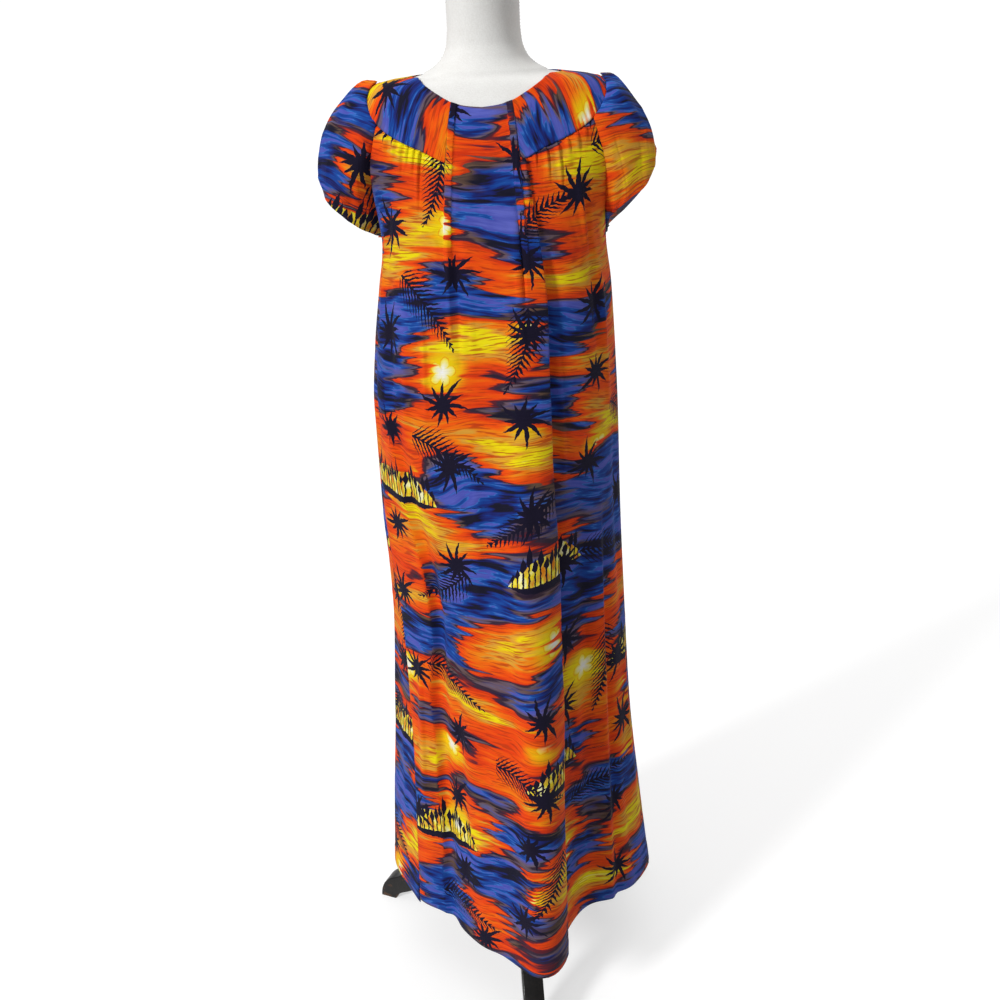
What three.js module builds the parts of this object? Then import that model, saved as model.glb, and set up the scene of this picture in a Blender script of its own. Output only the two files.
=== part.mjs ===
import * as THREE from 'three';

// Hawaiian dress on a limbless dress form with a tripod stand.
// Millimetres, +Z up, front towards -Y, the wearer's left side towards +X.
// Cloth surfaces are rings round the stand's axis: a place on them is an angle in degrees
// (0 = +X side, -90 = front, 90 = back) and a height.

// Driving dimensions
const clothWall = 1.5;
const sleeveDrawnIn = { left: 23, right: 10 };
const neckLean = -2.5;
const seamGap = 0.3;
const seatGap = 1.5;
const layerLift = 3.4;
const tuckWidthAngle = 3.6;
const tuckHeight = 1.8;
const panelHalfAngle = 24.5;
const fixedHalfAngle = 28;
const seamSwingStart = -118;
const gatherSteps = 12;
const gatherHeight = 2.2;
const gatherLength = 95;
const underarmHeight = 1257;
const yokeCornerHeight = 1422;
const yokeCornerAngle = -25;
const shoulderTipHeight = 1469;
const backNeckHeight = 1478;
const sideHemHeight = 156;
const frontHemDrop = 21;
const backHemDrop = 5;
const sleeveLoopFrontSteps = 15;
const sleeveRows = 7;
const frontSeamRadius = 110;
const sideSeamRadius = 160;
const neckSeamRadius = 104;
const tuckEdge = 0.7;
const tuckLetGo = 1300;
const tuckEnd = 1215;
const neckTopHeight = 1605;
const neckForward = 9;
const armPlateStart = 148;
const armPlateFlattening = 0.65;
const torsoBottomHeight = 775;
const footRadius = 275;
const legThickness = 34;
const hubRadius = 30;
const hubTopHeight = 350;
const roundSteps = 20;
const poleRadius = 13;

// The dress as rings: half-width on each side, depth in front and behind, and how square each half is.
const dressRings = [
  { z: 1478, left: 104, right: 104, front: 75, back: 72, frontPower: 2.1, backPower: 2.1 },
  { z: 1475, left: 130, right: 130, front: 78, back: 75, frontPower: 2.1, backPower: 2.1 },
  { z: 1469, left: 154, right: 154, front: 82, back: 79, frontPower: 2.15, backPower: 2.1 },
  { z: 1455, left: 171, right: 171, front: 88, back: 84, frontPower: 2.2, backPower: 2.2 },
  { z: 1436, left: 181, right: 181, front: 95, back: 88, frontPower: 2.3, backPower: 2.3 },
  { z: 1415, left: 184, right: 184, front: 102, back: 93, frontPower: 2.35, backPower: 2.35 },
  { z: 1374, left: 181, right: 181, front: 112, back: 98, frontPower: 2.4, backPower: 2.4 },
  { z: 1330, left: 172, right: 172, front: 120, back: 101, frontPower: 2.35, backPower: 2.35 },
  { z: 1290, left: 163, right: 163, front: 127, back: 102, frontPower: 2.3, backPower: 2.3 },
  { z: 1257, left: 160, right: 160, front: 131, back: 103, frontPower: 2.25, backPower: 2.25 },
  { z: 1190, left: 167, right: 170, front: 136, back: 107, frontPower: 2.15, backPower: 2.2 },
  { z: 1100, left: 172, right: 184, front: 142, back: 113, frontPower: 2.0, backPower: 2.15 },
  { z: 1000, left: 176, right: 193, front: 149, back: 124, frontPower: 1.9, backPower: 2.1 },
  { z: 845, left: 179, right: 193, front: 159, back: 133, frontPower: 1.8, backPower: 2.05 },
  { z: 677, left: 185, right: 187, front: 171, back: 143, frontPower: 1.7, backPower: 2.0 },
  { z: 497, left: 193, right: 198, front: 186, back: 156, frontPower: 1.6, backPower: 2.0 },
  { z: 305, left: 211, right: 214, front: 196, back: 170, frontPower: 1.55, backPower: 2.0 },
  { z: 100, left: 234, right: 228, front: 205, back: 186, frontPower: 1.5, backPower: 2.0 },
];

// Hanging folds of the skirt: depth out (+) or in (-) at the hem, growing from the start height.
const skirtFolds = [
  { start: 1330, full: 110, startAngle: -72, hemAngle: -77, halfAngle: 12, depth: 78 },
  { start: 1000, full: 150, startAngle: -46, hemAngle: -42, halfAngle: 22, depth: -30 },
  { start: 1040, full: 700, startAngle: -160, hemAngle: -128, halfAngle: 12, depth: -15 },
  { start: 700, full: 200, startAngle: -104, hemAngle: -100, halfAngle: 9, depth: 10 },
  { start: 620, full: 380, startAngle: -142, hemAngle: -141, halfAngle: 8, depth: 8 },
  { start: 900, full: 450, startAngle: -24, hemAngle: -22, halfAngle: 10, depth: 9 },
  { start: 1120, full: 150, startAngle: 40, hemAngle: 46, halfAngle: 15, depth: 17 },
  { start: 1000, full: 150, startAngle: 80, hemAngle: 84, halfAngle: 14, depth: 14 },
  { start: 1150, full: 150, startAngle: 128, hemAngle: 124, halfAngle: 16, depth: 19 },
  { start: 800, full: 150, startAngle: 158, hemAngle: 156, halfAngle: 11, depth: 10 },
];

// The right side seam, which swings round to the front towards the hem.
const rightSideSeam = [
  { z: 100, angle: -144.5 },
  { z: 305, angle: -145.5 },
  { z: 430, angle: -147.5 },
  { z: 550, angle: -152.5 },
  { z: 700, angle: -160 },
  { z: 900, angle: -171 },
  { z: 1100, angle: -179 },
  { z: 1257, angle: -180 },
];

// Armhole edge of the front body (on the left side; the right side is its mirror image).
const frontArmhole = [
  { z: 1257, angle: 0 },
  { z: 1265, angle: -5 },
  { z: 1285, angle: -10.5 },
  { z: 1310, angle: -15 },
  { z: 1340, angle: -18.5 },
  { z: 1374, angle: -21.5 },
  { z: 1400, angle: -24 },
  { z: 1422, angle: -25 },
];

// Armhole edge of the back body, from the underarm to the tip of the shoulder seam.
const backArmhole = [
  { z: 1257, angle: 0 },
  { z: 1280, angle: 9 },
  { z: 1303, angle: 15 },
  { z: 1326, angle: 19.5 },
  { z: 1350, angle: 23 },
  { z: 1374, angle: 25 },
  { z: 1398, angle: 25.5 },
  { z: 1420, angle: 23.5 },
  { z: 1438, angle: 18.5 },
  { z: 1454, angle: 11 },
  { z: 1465, angle: 4 },
  { z: 1469, angle: 0 },
];

// Outer seam of a yoke, from the centre panel to the tip of the shoulder seam.
const yokeSeam = [
  { angle: -67, z: 1372 },
  { angle: -60, z: 1378 },
  { angle: -52, z: 1387 },
  { angle: -42, z: 1397 },
  { angle: -33, z: 1408 },
  { angle: -25, z: 1422 },
  { angle: -17.7, z: 1439 },
  { angle: -10.9, z: 1454 },
  { angle: -4, z: 1466 },
  { angle: 0, z: 1469 },
];

// Neckline over the centre panel and the yokes, by the angle from the front's middle.
const neckline = [
  { fromFront: 0, z: 1441 },
  { fromFront: 12, z: 1443 },
  { fromFront: 24, z: 1448 },
  { fromFront: 36, z: 1458.5 },
  { fromFront: 48, z: 1470.5 },
  { fromFront: 54, z: 1475 },
  { fromFront: 64, z: 1477.5 },
  { fromFront: 90, z: 1478 },
];

// Reach of the cap sleeve: its outermost line round the arm, and how far the cloth puffs out before it.
const sleeveReach = [
  { turn: -1, x: 172, y: -1, z: 1259, puff: 0 },
  { turn: -0.9, x: 185, y: -31, z: 1267, puff: 2 },
  { turn: -0.78, x: 203, y: -50, z: 1280, puff: 6 },
  { turn: -0.64, x: 225, y: -55, z: 1301, puff: 10 },
  { turn: -0.5, x: 239, y: -47, z: 1318, puff: 12 },
  { turn: -0.35, x: 248, y: -31, z: 1342, puff: 15 },
  { turn: -0.2, x: 252, y: -15, z: 1361, puff: 20 },
  { turn: 0, x: 254, y: 3, z: 1370, puff: 22 },
  { turn: 0.2, x: 254, y: 20, z: 1360, puff: 20 },
  { turn: 0.35, x: 250, y: 36, z: 1338, puff: 15 },
  { turn: 0.5, x: 240, y: 52, z: 1312, puff: 12 },
  { turn: 0.64, x: 225, y: 58, z: 1290, puff: 10 },
  { turn: 0.78, x: 203, y: 52, z: 1270, puff: 6 },
  { turn: 0.9, x: 185, y: 32, z: 1262, puff: 2 },
  { turn: 1, x: 172, y: 1, z: 1258, puff: 0 },
];

// The dress form below the yoke, and its neck above the dress.
const torsoRings = [
  { z: 775, side: 146, front: 90, back: 96, power: 2.1 },
  { z: 783, side: 152, front: 96, back: 102, power: 2.1 },
  { z: 850, side: 152, front: 97, back: 103, power: 2.1 },
  { z: 920, side: 148, front: 98, back: 100, power: 2.1 },
  { z: 1000, side: 131, front: 95, back: 86, power: 2 },
  { z: 1070, side: 115, front: 89, back: 76, power: 2 },
  { z: 1130, side: 123, front: 99, back: 79, power: 2 },
  { z: 1200, side: 142, front: 121, back: 88, power: 2.1 },
  { z: 1257, side: 153, front: 127, back: 97, power: 2.2 },
  { z: 1300, side: 163, front: 122, back: 99, power: 2.3 },
  { z: 1340, side: 171, front: 115, back: 98, power: 2.35 },
];
const neckRings = [
  { z: 1482, side: 86, front: 72, back: 69, power: 2 },
  { z: 1491, side: 69, front: 67, back: 63, power: 2 },
  { z: 1502, side: 58, front: 62, back: 57, power: 2 },
  { z: 1520, side: 51, front: 57, back: 50, power: 2 },
  { z: 1545, side: 49, front: 56, back: 46, power: 2 },
  { z: 1580, side: 49, front: 58, back: 42, power: 2 },
  { z: 1598, side: 48, front: 58, back: 40, power: 2 },
  { z: 1605, side: 42, front: 52, back: 34, power: 2 },
];

const printedCotton = new THREE.MeshStandardMaterial({ color: '#c8501c', roughness: 0.85, metalness: 0 });
const yokeCotton = new THREE.MeshStandardMaterial({ color: '#27409c', roughness: 0.85, metalness: 0 });
const sleeveCotton = new THREE.MeshStandardMaterial({ color: '#e0922a', roughness: 0.85, metalness: 0 });
const linen = new THREE.MeshStandardMaterial({ color: '#e9e6df', roughness: 0.9, metalness: 0 });
const blackWood = new THREE.MeshStandardMaterial({ color: '#141312', roughness: 0.4, metalness: 0 });

const radians = THREE.MathUtils.degToRad;

function ramp(from, to, value) {
  return THREE.MathUtils.clamp((value - from) / (to - from), 0, 1);
}

// A value from a table, by a cubic curve that keeps the table's rises and falls and never overshoots.
function readTable(table, key, column, value) {
  const rising = table[0][key] < table[table.length - 1][key];
  const rows = rising ? table : [...table].reverse();
  const last = rows.length - 1;
  const inside = THREE.MathUtils.clamp(value, rows[0][key], rows[last][key]);
  let index = 0;
  while (index < last - 1 && rows[index + 1][key] < inside) index += 1;
  const slope = (i) => (rows[i + 1][column] - rows[i][column]) / (rows[i + 1][key] - rows[i][key]);
  const tangent = (i) => {
    if (i === 0) return slope(0);
    if (i === last) return slope(last - 1);
    const before = slope(i - 1);
    const after = slope(i);
    return before * after <= 0 ? 0 : (2 * before * after) / (before + after);
  };
  const span = rows[index + 1][key] - rows[index][key];
  const t = (inside - rows[index][key]) / span;
  const atStart = (1 + 2 * t) * rows[index][column] + t * span * tangent(index);
  const atEnd = (3 - 2 * t) * rows[index + 1][column] - (1 - t) * span * tangent(index + 1);
  return (1 - t) ** 2 * atStart + t * t * atEnd;
}

// Radius at an angle of a ring that is an ellipse made squarer or more pointed by its power.
function ringRadius(angle, side, depth, power) {
  const across = Math.abs(Math.cos(radians(angle))) / side;
  const along = Math.abs(Math.sin(radians(angle))) / depth;
  return (across ** power + along ** power) ** (-1 / power);
}

function angleBetween(a, b) {
  return THREE.MathUtils.euclideanModulo(a - b + 180, 360) - 180;
}

function skirtFoldDepth(angle, z) {
  let depth = 0;
  for (const fold of skirtFolds) {
    const grown = ramp(fold.start, fold.full, z);
    const centre = THREE.MathUtils.lerp(fold.startAngle, fold.hemAngle, grown);
    const offset = angleBetween(angle, centre) / fold.halfAngle;
    depth += fold.depth * grown * Math.exp(-offset * offset);
  }
  return depth;
}

// A point of the dress's inner face, before pleats and gathers.
function clothPoint(angle, z) {
  const isFront = Math.sin(radians(angle)) < 0;
  const side = readTable(dressRings, 'z', Math.cos(radians(angle)) > 0 ? 'left' : 'right', z);
  const depth = readTable(dressRings, 'z', isFront ? 'front' : 'back', z);
  const power = readTable(dressRings, 'z', isFront ? 'frontPower' : 'backPower', z);
  const radius = ringRadius(angle, side, depth, power) + skirtFoldDepth(angle, z);
  return new THREE.Vector3(radius * Math.cos(radians(angle)), radius * Math.sin(radians(angle)), z);
}

function clothNormal(angle, z) {
  const turn = 0.4;
  const rise = 0.8;
  const low = Math.min(z, backNeckHeight - rise);
  const across = clothPoint(angle + turn, z).sub(clothPoint(angle - turn, z));
  const up = clothPoint(angle, low + rise).sub(clothPoint(angle, low - rise));
  return across.cross(up).normalize();
}

// Stitched tuck strips down both sides of the centre panel, let go above the waist.
function tuckDepth(angle, z) {
  const fromCentre = Math.abs(angle + 90);
  const outer = panelHalfAngle - tuckEdge;
  const inner = outer - tuckWidthAngle;
  if (fromCentre > outer + 0.01 || fromCentre < inner - 0.01) return 0;
  return tuckHeight * ramp(tuckEnd, tuckLetGo, z);
}

// Gathers below the yoke: every second column of the cloth stands out, fading down the bust.
function gatherDepth(angle, z, column, seamHeight) {
  if (Math.abs(angle + 90) < fixedHalfAngle - 0.01) return 0;
  const below = seamHeight - z;
  const window = (0.45 + 0.55 * ramp(0, 15, below)) * (1 - ramp(15, gatherLength, below));
  const armholeFade = ramp(-20, -34, angle > -90 ? angle : -180 - angle);
  return (column % 2 === 0 ? gatherHeight : 0) * window * armholeFade;
}

function wallPoint(angle, z, raised = 0) {
  const normal = clothNormal(angle, z);
  const inner = clothPoint(angle, z).addScaledVector(normal, raised);
  const outer = inner.clone().addScaledVector(normal, clothWall);
  return { inner, outer };
}

function closedMesh(name, vertices, triangles, material) {
  const geometry = new THREE.BufferGeometry();
  const numbers = vertices.flatMap((point) => [point.x, point.y, point.z]);
  geometry.setAttribute('position', new THREE.Float32BufferAttribute(numbers, 3));
  geometry.setIndex(triangles.flat());
  geometry.computeVertexNormals();
  const mesh = new THREE.Mesh(geometry, material);
  mesh.name = name;
  return mesh;
}

// A closed wall on a grid of inner and outer points, with its rims closed wherever cells end.
function clothWallMesh(name, grid, hasCell, material, mirrored = false) {
  const rows = grid.length;
  const columns = grid[0].length;
  const vertices = [];
  const triangles = [];
  const numbers = new Map();
  const vertexNumber = (row, column, face) => {
    const label = `${row}:${column}:${face}`;
    if (!numbers.has(label)) {
      numbers.set(label, vertices.length);
      vertices.push(grid[row][column][face]);
    }
    return numbers.get(label);
  };
  const addFour = (a, b, c, d) => {
    const corners = mirrored ? [a, d, c, b] : [a, b, c, d];
    triangles.push([corners[0], corners[1], corners[2]], [corners[0], corners[2], corners[3]]);
  };
  const cellAt = (row, column) => row >= 0 && column >= 0 && row < rows - 1 && column < columns - 1
    && hasCell(row, column);
  for (let row = 0; row < rows - 1; row += 1) {
    for (let column = 0; column < columns - 1; column += 1) {
      if (!cellAt(row, column)) continue;
      const around = [[row, column], [row, column + 1], [row + 1, column + 1], [row + 1, column]];
      const outer = around.map(([r, c]) => vertexNumber(r, c, 'outer'));
      const inner = around.map(([r, c]) => vertexNumber(r, c, 'inner'));
      addFour(outer[0], outer[1], outer[2], outer[3]);
      addFour(inner[3], inner[2], inner[1], inner[0]);
      const beside = [[row - 1, column], [row, column + 1], [row + 1, column], [row, column - 1]];
      beside.forEach(([r, c], side) => {
        if (cellAt(r, c)) return;
        const next = (side + 1) % 4;
        addFour(inner[side], inner[next], outer[next], outer[side]);
      });
    }
  }
  return closedMesh(name, vertices, triangles, material);
}

function mirroredGrid(grid) {
  const flip = (point) => new THREE.Vector3(-point.x, point.y, point.z);
  return grid.map((row) => row.map((place) => ({ inner: flip(place.inner), outer: flip(place.outer) })));
}

// Reference angles of the front's columns from the right side seam to the left one,
// with columns on both edges of each tuck.
function frontColumns() {
  const edge = panelHalfAngle - seamAngle(frontSeamRadius) / 2;
  const outer = panelHalfAngle - tuckEdge;
  const inner = outer - tuckWidthAngle;
  const half = [];
  for (let step = 0; step <= gatherSteps; step += 1) {
    half.push(THREE.MathUtils.lerp(90, fixedHalfAngle, step / gatherSteps));
  }
  half.push(edge, outer, inner, inner - tuckEdge, 15, 10, 5);
  return [...half.map((angle) => -90 - angle), -90, ...half.reverse().map((angle) => -90 + angle)];
}

function seamAngle(radius) {
  return THREE.MathUtils.radToDeg(seamGap / radius);
}

function hemHeight(angle) {
  const sine = Math.sin(radians(angle));
  return sideHemHeight - (sine < 0 ? frontHemDrop : backHemDrop) * sine * sine;
}

const skirtHeights = [0, 215, 280, 350, 425, 505, 585, 665, 745, 825, 905, 975, 1040, 1095, 1145, 1188, 1224,
  underarmHeight];
const chestSteps = 8;
const panelSteps = 5;

function yokeSeamHeight(angle) {
  const folded = angle < -90 ? -180 - angle : angle;
  return readTable(yokeSeam, 'angle', 'z', Math.max(folded, -67));
}

function frontNeckHeight(angle) {
  return readTable(neckline, 'fromFront', 'z', Math.abs(angle + 90));
}

// Angle of a front column at a step of the chest: fixed in the middle, drawn in to the armhole at the sides.
function chestAngle(reference, step) {
  const fromCentre = Math.abs(reference + 90);
  if (fromCentre <= fixedHalfAngle) return reference;
  const edgeHeight = THREE.MathUtils.lerp(underarmHeight, yokeCornerHeight, step / chestSteps);
  const armhole = readTable(frontArmhole, 'z', 'angle', edgeHeight);
  const edge = 90 + armhole - seamAngle(sideSeamRadius);
  const drawn = THREE.MathUtils.mapLinear(fromCentre, fixedHalfAngle, 90, fixedHalfAngle, edge);
  return -90 + Math.sign(reference + 90) * drawn;
}

// Angle of a front column on the skirt, whose right part follows the swing of the side seam.
function skirtAngle(angle, z) {
  if (angle > seamSwingStart) return angle;
  const gap = seamAngle(sideSeamRadius);
  const seam = readTable(rightSideSeam, 'z', 'angle', z) + gap;
  return THREE.MathUtils.mapLinear(angle, seamSwingStart, gap - 180, seamSwingStart, seam);
}

function frontPlace(reference, column, row) {
  const seam = seamGap / 2;
  if (row < skirtHeights.length) {
    const straight = chestAngle(reference, 0);
    const angle = skirtAngle(straight, row === 0 ? sideHemHeight : skirtHeights[row]);
    const z = row === 0 ? hemHeight(angle) : skirtHeights[row];
    const seamHeight = yokeSeamHeight(chestAngle(reference, chestSteps));
    return wallPoint(angle, z, tuckDepth(angle, z) + gatherDepth(angle, z, column, seamHeight));
  }
  const chestRow = row - skirtHeights.length + 1;
  const topAngle = chestAngle(reference, chestSteps);
  const seamHeight = yokeSeamHeight(topAngle) - seam;
  if (chestRow <= chestSteps) {
    const angle = chestAngle(reference, chestRow);
    const z = THREE.MathUtils.lerp(underarmHeight, seamHeight, chestRow / chestSteps);
    return wallPoint(angle, z, tuckDepth(angle, z) + gatherDepth(angle, z, column, seamHeight));
  }
  const neck = frontNeckHeight(reference);
  const z = THREE.MathUtils.lerp(seamHeight, neck, (chestRow - chestSteps) / panelSteps);
  return wallPoint(reference, z, tuckDepth(reference, z));
}

function frontBody() {
  const columns = frontColumns();
  const rowCount = skirtHeights.length + chestSteps + panelSteps;
  const grid = [];
  for (let row = 0; row < rowCount; row += 1) {
    grid.push(columns.map((reference, column) => frontPlace(reference, column, row)));
  }
  const panelRow = skirtHeights.length + chestSteps - 1;
  const inPanel = (column) => Math.abs(columns[column] + columns[column + 1] + 180) / 2 < panelHalfAngle;
  return clothWallMesh('front_body', grid, (row, column) => row < panelRow || inPanel(column), printedCotton);
}

const backTopHeights = [...backArmhole.slice(1).map((row) => row.z), 1472, 1475, backNeckHeight];
const backColumns = 28;

function backBody() {
  const heights = [...skirtHeights, ...backTopHeights];
  const grid = heights.map((height) => {
    const inArmhole = height > underarmHeight && height < shoulderTipHeight;
    const armhole = inArmhole ? readTable(backArmhole, 'z', 'angle', height) : 0;
    const edge = armhole + (inArmhole ? 1.5 * seamAngle(sideSeamRadius) : seamAngle(neckSeamRadius) / 2);
    const places = [];
    const rightSeam = 360 + readTable(rightSideSeam, 'z', 'angle', Math.max(height, sideHemHeight));
    for (let column = 0; column <= backColumns; column += 1) {
      const angle = THREE.MathUtils.lerp(edge, rightSeam - edge, column / backColumns);
      places.push(wallPoint(angle, height === 0 ? hemHeight(angle) : height));
    }
    return places;
  });
  return clothWallMesh('back_body', grid, () => true, printedCotton);
}

const yokeRows = 8;

// Angles along a yoke's outer seam: those of the front's columns, then steps round to the shoulder tip.
function yokeAngles() {
  const alongBody = frontColumns().filter((angle) => angle > -90 + panelHalfAngle)
    .map((angle) => chestAngle(angle, chestSteps));
  alongBody[alongBody.length - 1] = yokeCornerAngle;
  const alongSleeve = [-21, -17.7, -14, -10.9, -7, -4, 0];
  return [-90 + panelHalfAngle + seamAngle(frontSeamRadius) / 2, ...alongBody, ...alongSleeve];
}

function yokeGrid() {
  const angles = yokeAngles();
  const grid = [];
  for (let row = 0; row <= yokeRows; row += 1) {
    const share = 1 - (1 - row / yokeRows) ** 1.5;
    grid.push(angles.map((angle) => {
      const bottom = yokeSeamHeight(angle) + seamGap / 2;
      const place = Math.min(angle, -seamAngle(neckSeamRadius) / 2);
      return wallPoint(place, THREE.MathUtils.lerp(bottom, frontNeckHeight(angle), share));
    }));
  }
  return grid;
}

// The armhole seam as a loop: up the front from the underarm, over the shoulder tip, down the back.
function armholeLoop() {
  const places = [];
  for (let step = 0; step <= chestSteps; step += 1) {
    const z = THREE.MathUtils.lerp(underarmHeight, yokeCornerHeight, step / chestSteps);
    places.push({ angle: readTable(frontArmhole, 'z', 'angle', z), z });
  }
  yokeAngles().filter((angle) => angle > yokeCornerAngle).forEach((angle) => {
    places.push({ angle, z: yokeSeamHeight(angle) });
  });
  [...backArmhole].reverse().slice(1).forEach((row) => places.push(row));
  const points = places.map((place) => clothPoint(place.angle, place.z));
  return places.map((place, index) => {
    const before = points[Math.max(index - 1, 0)];
    const after = points[Math.min(index + 1, points.length - 1)];
    const normal = clothNormal(place.angle, place.z);
    const alongSeam = after.clone().sub(before).normalize();
    const away = alongSeam.clone().cross(normal).normalize();
    return { point: points[index], normal, away };
  });
}

function mixLoop(loop, position) {
  const index = THREE.MathUtils.clamp(Math.floor(position), 0, loop.length - 2);
  const share = position - index;
  const mixed = {};
  for (const key of ['point', 'normal', 'away']) {
    mixed[key] = loop[index][key].clone().lerp(loop[index + 1][key], share);
  }
  return mixed;
}

function sleeveTurn(loop, position) {
  const front = sleeveLoopFrontSteps;
  return position <= front ? (position - front) / front : (position - front) / (loop.length - 1 - front);
}

// A point of the sleeve's inner face: straight from the armhole to the reach line, puffed out between,
// with small tucks over the shoulder.
function sleevePoint(loop, position, out, drawnIn) {
  const edge = mixLoop(loop, position);
  const start = edge.point.clone().addScaledVector(edge.normal, clothWall + 2 * seamGap)
    .addScaledVector(edge.away, 3 * seamGap);
  const turn = sleeveTurn(loop, position);
  const reachOf = (axis) => readTable(sleeveReach, 'turn', axis, turn);
  const reach = new THREE.Vector3(reachOf('x'), reachOf('y'), reachOf('z'));
  reach.x -= drawnIn * (1 - turn * turn);
  const line = reach.clone().sub(start);
  const alongSeam = edge.away.clone().cross(edge.normal);
  const outward = alongSeam.cross(line).normalize();
  const puff = readTable(sleeveReach, 'turn', 'puff', turn) * 3.1 * out ** 0.7 * (1 - out);
  const tucks = 1.5 * Math.cos((2 * Math.PI * position) / 3) * ramp(0.6, 0.25, Math.abs(turn))
    * ramp(0, 0.15, out) * ramp(0.75, 0.3, out);
  return start.addScaledVector(line, out).addScaledVector(outward, puff + tucks);
}

function sleeveNormal(loop, position, out, drawnIn) {
  const step = 0.02;
  const last = loop.length - 1;
  const low = Math.max(out - step, 0);
  const high = Math.min(out + step, 1);
  const before = sleevePoint(loop, Math.max(position - 0.6, 0), out, drawnIn);
  const after = sleevePoint(loop, Math.min(position + 0.6, last), out, drawnIn);
  const alongSeam = after.sub(before);
  const outwards = sleevePoint(loop, position, high, drawnIn).sub(sleevePoint(loop, position, low, drawnIn));
  return alongSeam.cross(outwards).negate().normalize();
}

// One petal of the sleeve. firstEdge and lastEdge give where along the loop it starts and ends
// at each distance out, and lift raises the petal that lies on top.
function petalGrid(loop, columns, firstEdge, lastEdge, lift, drawnIn) {
  const grid = [];
  for (let row = 0; row <= sleeveRows; row += 1) {
    const out = 1 - (1 - row / sleeveRows) ** 1.35;
    const places = [];
    for (let column = 0; column <= columns; column += 1) {
      const position = THREE.MathUtils.lerp(firstEdge(out), lastEdge(out), column / columns);
      const raised = lift(sleeveTurn(loop, position));
      const edge = mixLoop(loop, position);
      const normal = row === 0 ? edge.normal : sleeveNormal(loop, position, out, drawnIn);
      const start = row === 0 ? edge.point.clone().addScaledVector(edge.away, seamGap / 2)
        : sleevePoint(loop, position, out, drawnIn);
      const inner = start.addScaledVector(normal, raised);
      places.push({ inner, outer: inner.clone().addScaledVector(normal, clothWall) });
    }
    grid.push(places);
  }
  return grid;
}

function sleevePetals(sideName, mirrored) {
  const loop = armholeLoop();
  const tip = sleeveLoopFrontSteps;
  const last = loop.length - 1;
  const underarmGap = 0.04;
  const overlap = 2;
  const frontEnd = (out) => tip + overlap - 1.6 * out - 3.2 * out ** 8;
  const backStart = (out) => tip - overlap + 0.8 * out + 2.6 * out ** 8;
  const drawnIn = sleeveDrawnIn[sideName];
  const front = petalGrid(loop, tip + overlap, () => underarmGap, frontEnd,
    (turn) => layerLift * ramp(-0.42, -0.22, turn), drawnIn);
  const back = petalGrid(loop, last - tip + overlap, backStart, () => last - underarmGap, () => 0, drawnIn);
  const place = (grid) => (mirrored ? mirroredGrid(grid) : grid);
  const flipped = !mirrored;
  return [
    clothWallMesh(`sleeve_${sideName}_front_petal`, place(front), () => true, sleeveCotton, flipped),
    clothWallMesh(`sleeve_${sideName}_back_petal`, place(back), () => true, sleeveCotton, flipped),
  ];
}

// The form's body: rings from its flat underside up to the neck's top. Under the yoke and on the
// chest it follows the dress at the seat gap.
function dressForm() {
  const columns = 32;
  const angles = Array.from({ length: columns }, (_, index) => (360 * index) / columns);
  const ownRing = (ring) => angles.map((angle) => {
    const depth = angle > 180 ? ring.front : ring.back;
    const radius = ringRadius(angle, ring.side, depth, ring.power);
    const lean = neckLean * ramp(backNeckHeight, 1500, ring.z);
    const across = radius * Math.cos(radians(angle)) + lean;
    return new THREE.Vector3(across, radius * Math.sin(radians(angle)), ring.z);
  });
  const seatedRing = (z) => angles.map((angle) => {
    const point = clothPoint(angle, z).addScaledVector(clothNormal(angle, z), -seatGap);
    const past = Math.max(Math.abs(point.x) - armPlateStart, 0);
    point.x -= Math.sign(point.x) * past * armPlateFlattening;
    return point;
  });
  const torsoRows = [775, 783, 820, 860, 905, 950, 995, 1035, 1070, 1105, 1145, 1185, 1222, 1257, 1300, 1340];
  const torsoRing = (z) => ({
    z,
    side: readTable(torsoRings, 'z', 'side', z),
    front: readTable(torsoRings, 'z', 'front', z),
    back: readTable(torsoRings, 'z', 'back', z),
    power: readTable(torsoRings, 'z', 'power', z),
  });
  const seatedRows = [1376, 1398, 1418, 1436, 1454, 1463, 1469, 1473, 1475.5, 1477.6];
  const rings = [
    ...torsoRows.map((z) => ownRing(torsoRing(z))),
    ...seatedRows.map((z) => seatedRing(z)),
    ...neckRings.map((ring) => ownRing(ring)),
  ];
  const vertices = rings.flat();
  const triangles = [];
  for (let row = 0; row < rings.length - 1; row += 1) {
    for (let column = 0; column < columns; column += 1) {
      const a = row * columns + column;
      const b = row * columns + ((column + 1) % columns);
      triangles.push([a, b, b + columns], [a, b + columns, a + columns]);
    }
  }
  const bottomCentre = vertices.push(new THREE.Vector3(0, 0, torsoBottomHeight)) - 1;
  const topCentre = vertices.push(new THREE.Vector3(neckLean, -neckForward, neckTopHeight)) - 1;
  const topStart = (rings.length - 1) * columns;
  for (let column = 0; column < columns; column += 1) {
    const next = (column + 1) % columns;
    triangles.push([bottomCentre, next, column], [topCentre, topStart + column, topStart + next]);
  }
  return closedMesh('form_torso', vertices, triangles, linen);
}

function standPole() {
  const top = torsoBottomHeight - seamGap;
  const bottom = hubTopHeight + seamGap;
  const geometry = new THREE.CylinderGeometry(poleRadius, poleRadius, top - bottom, roundSteps);
  const mesh = new THREE.Mesh(geometry, blackWood);
  mesh.rotation.x = Math.PI / 2;
  mesh.position.z = (top + bottom) / 2;
  mesh.name = 'stand_pole';
  return mesh;
}

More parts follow.
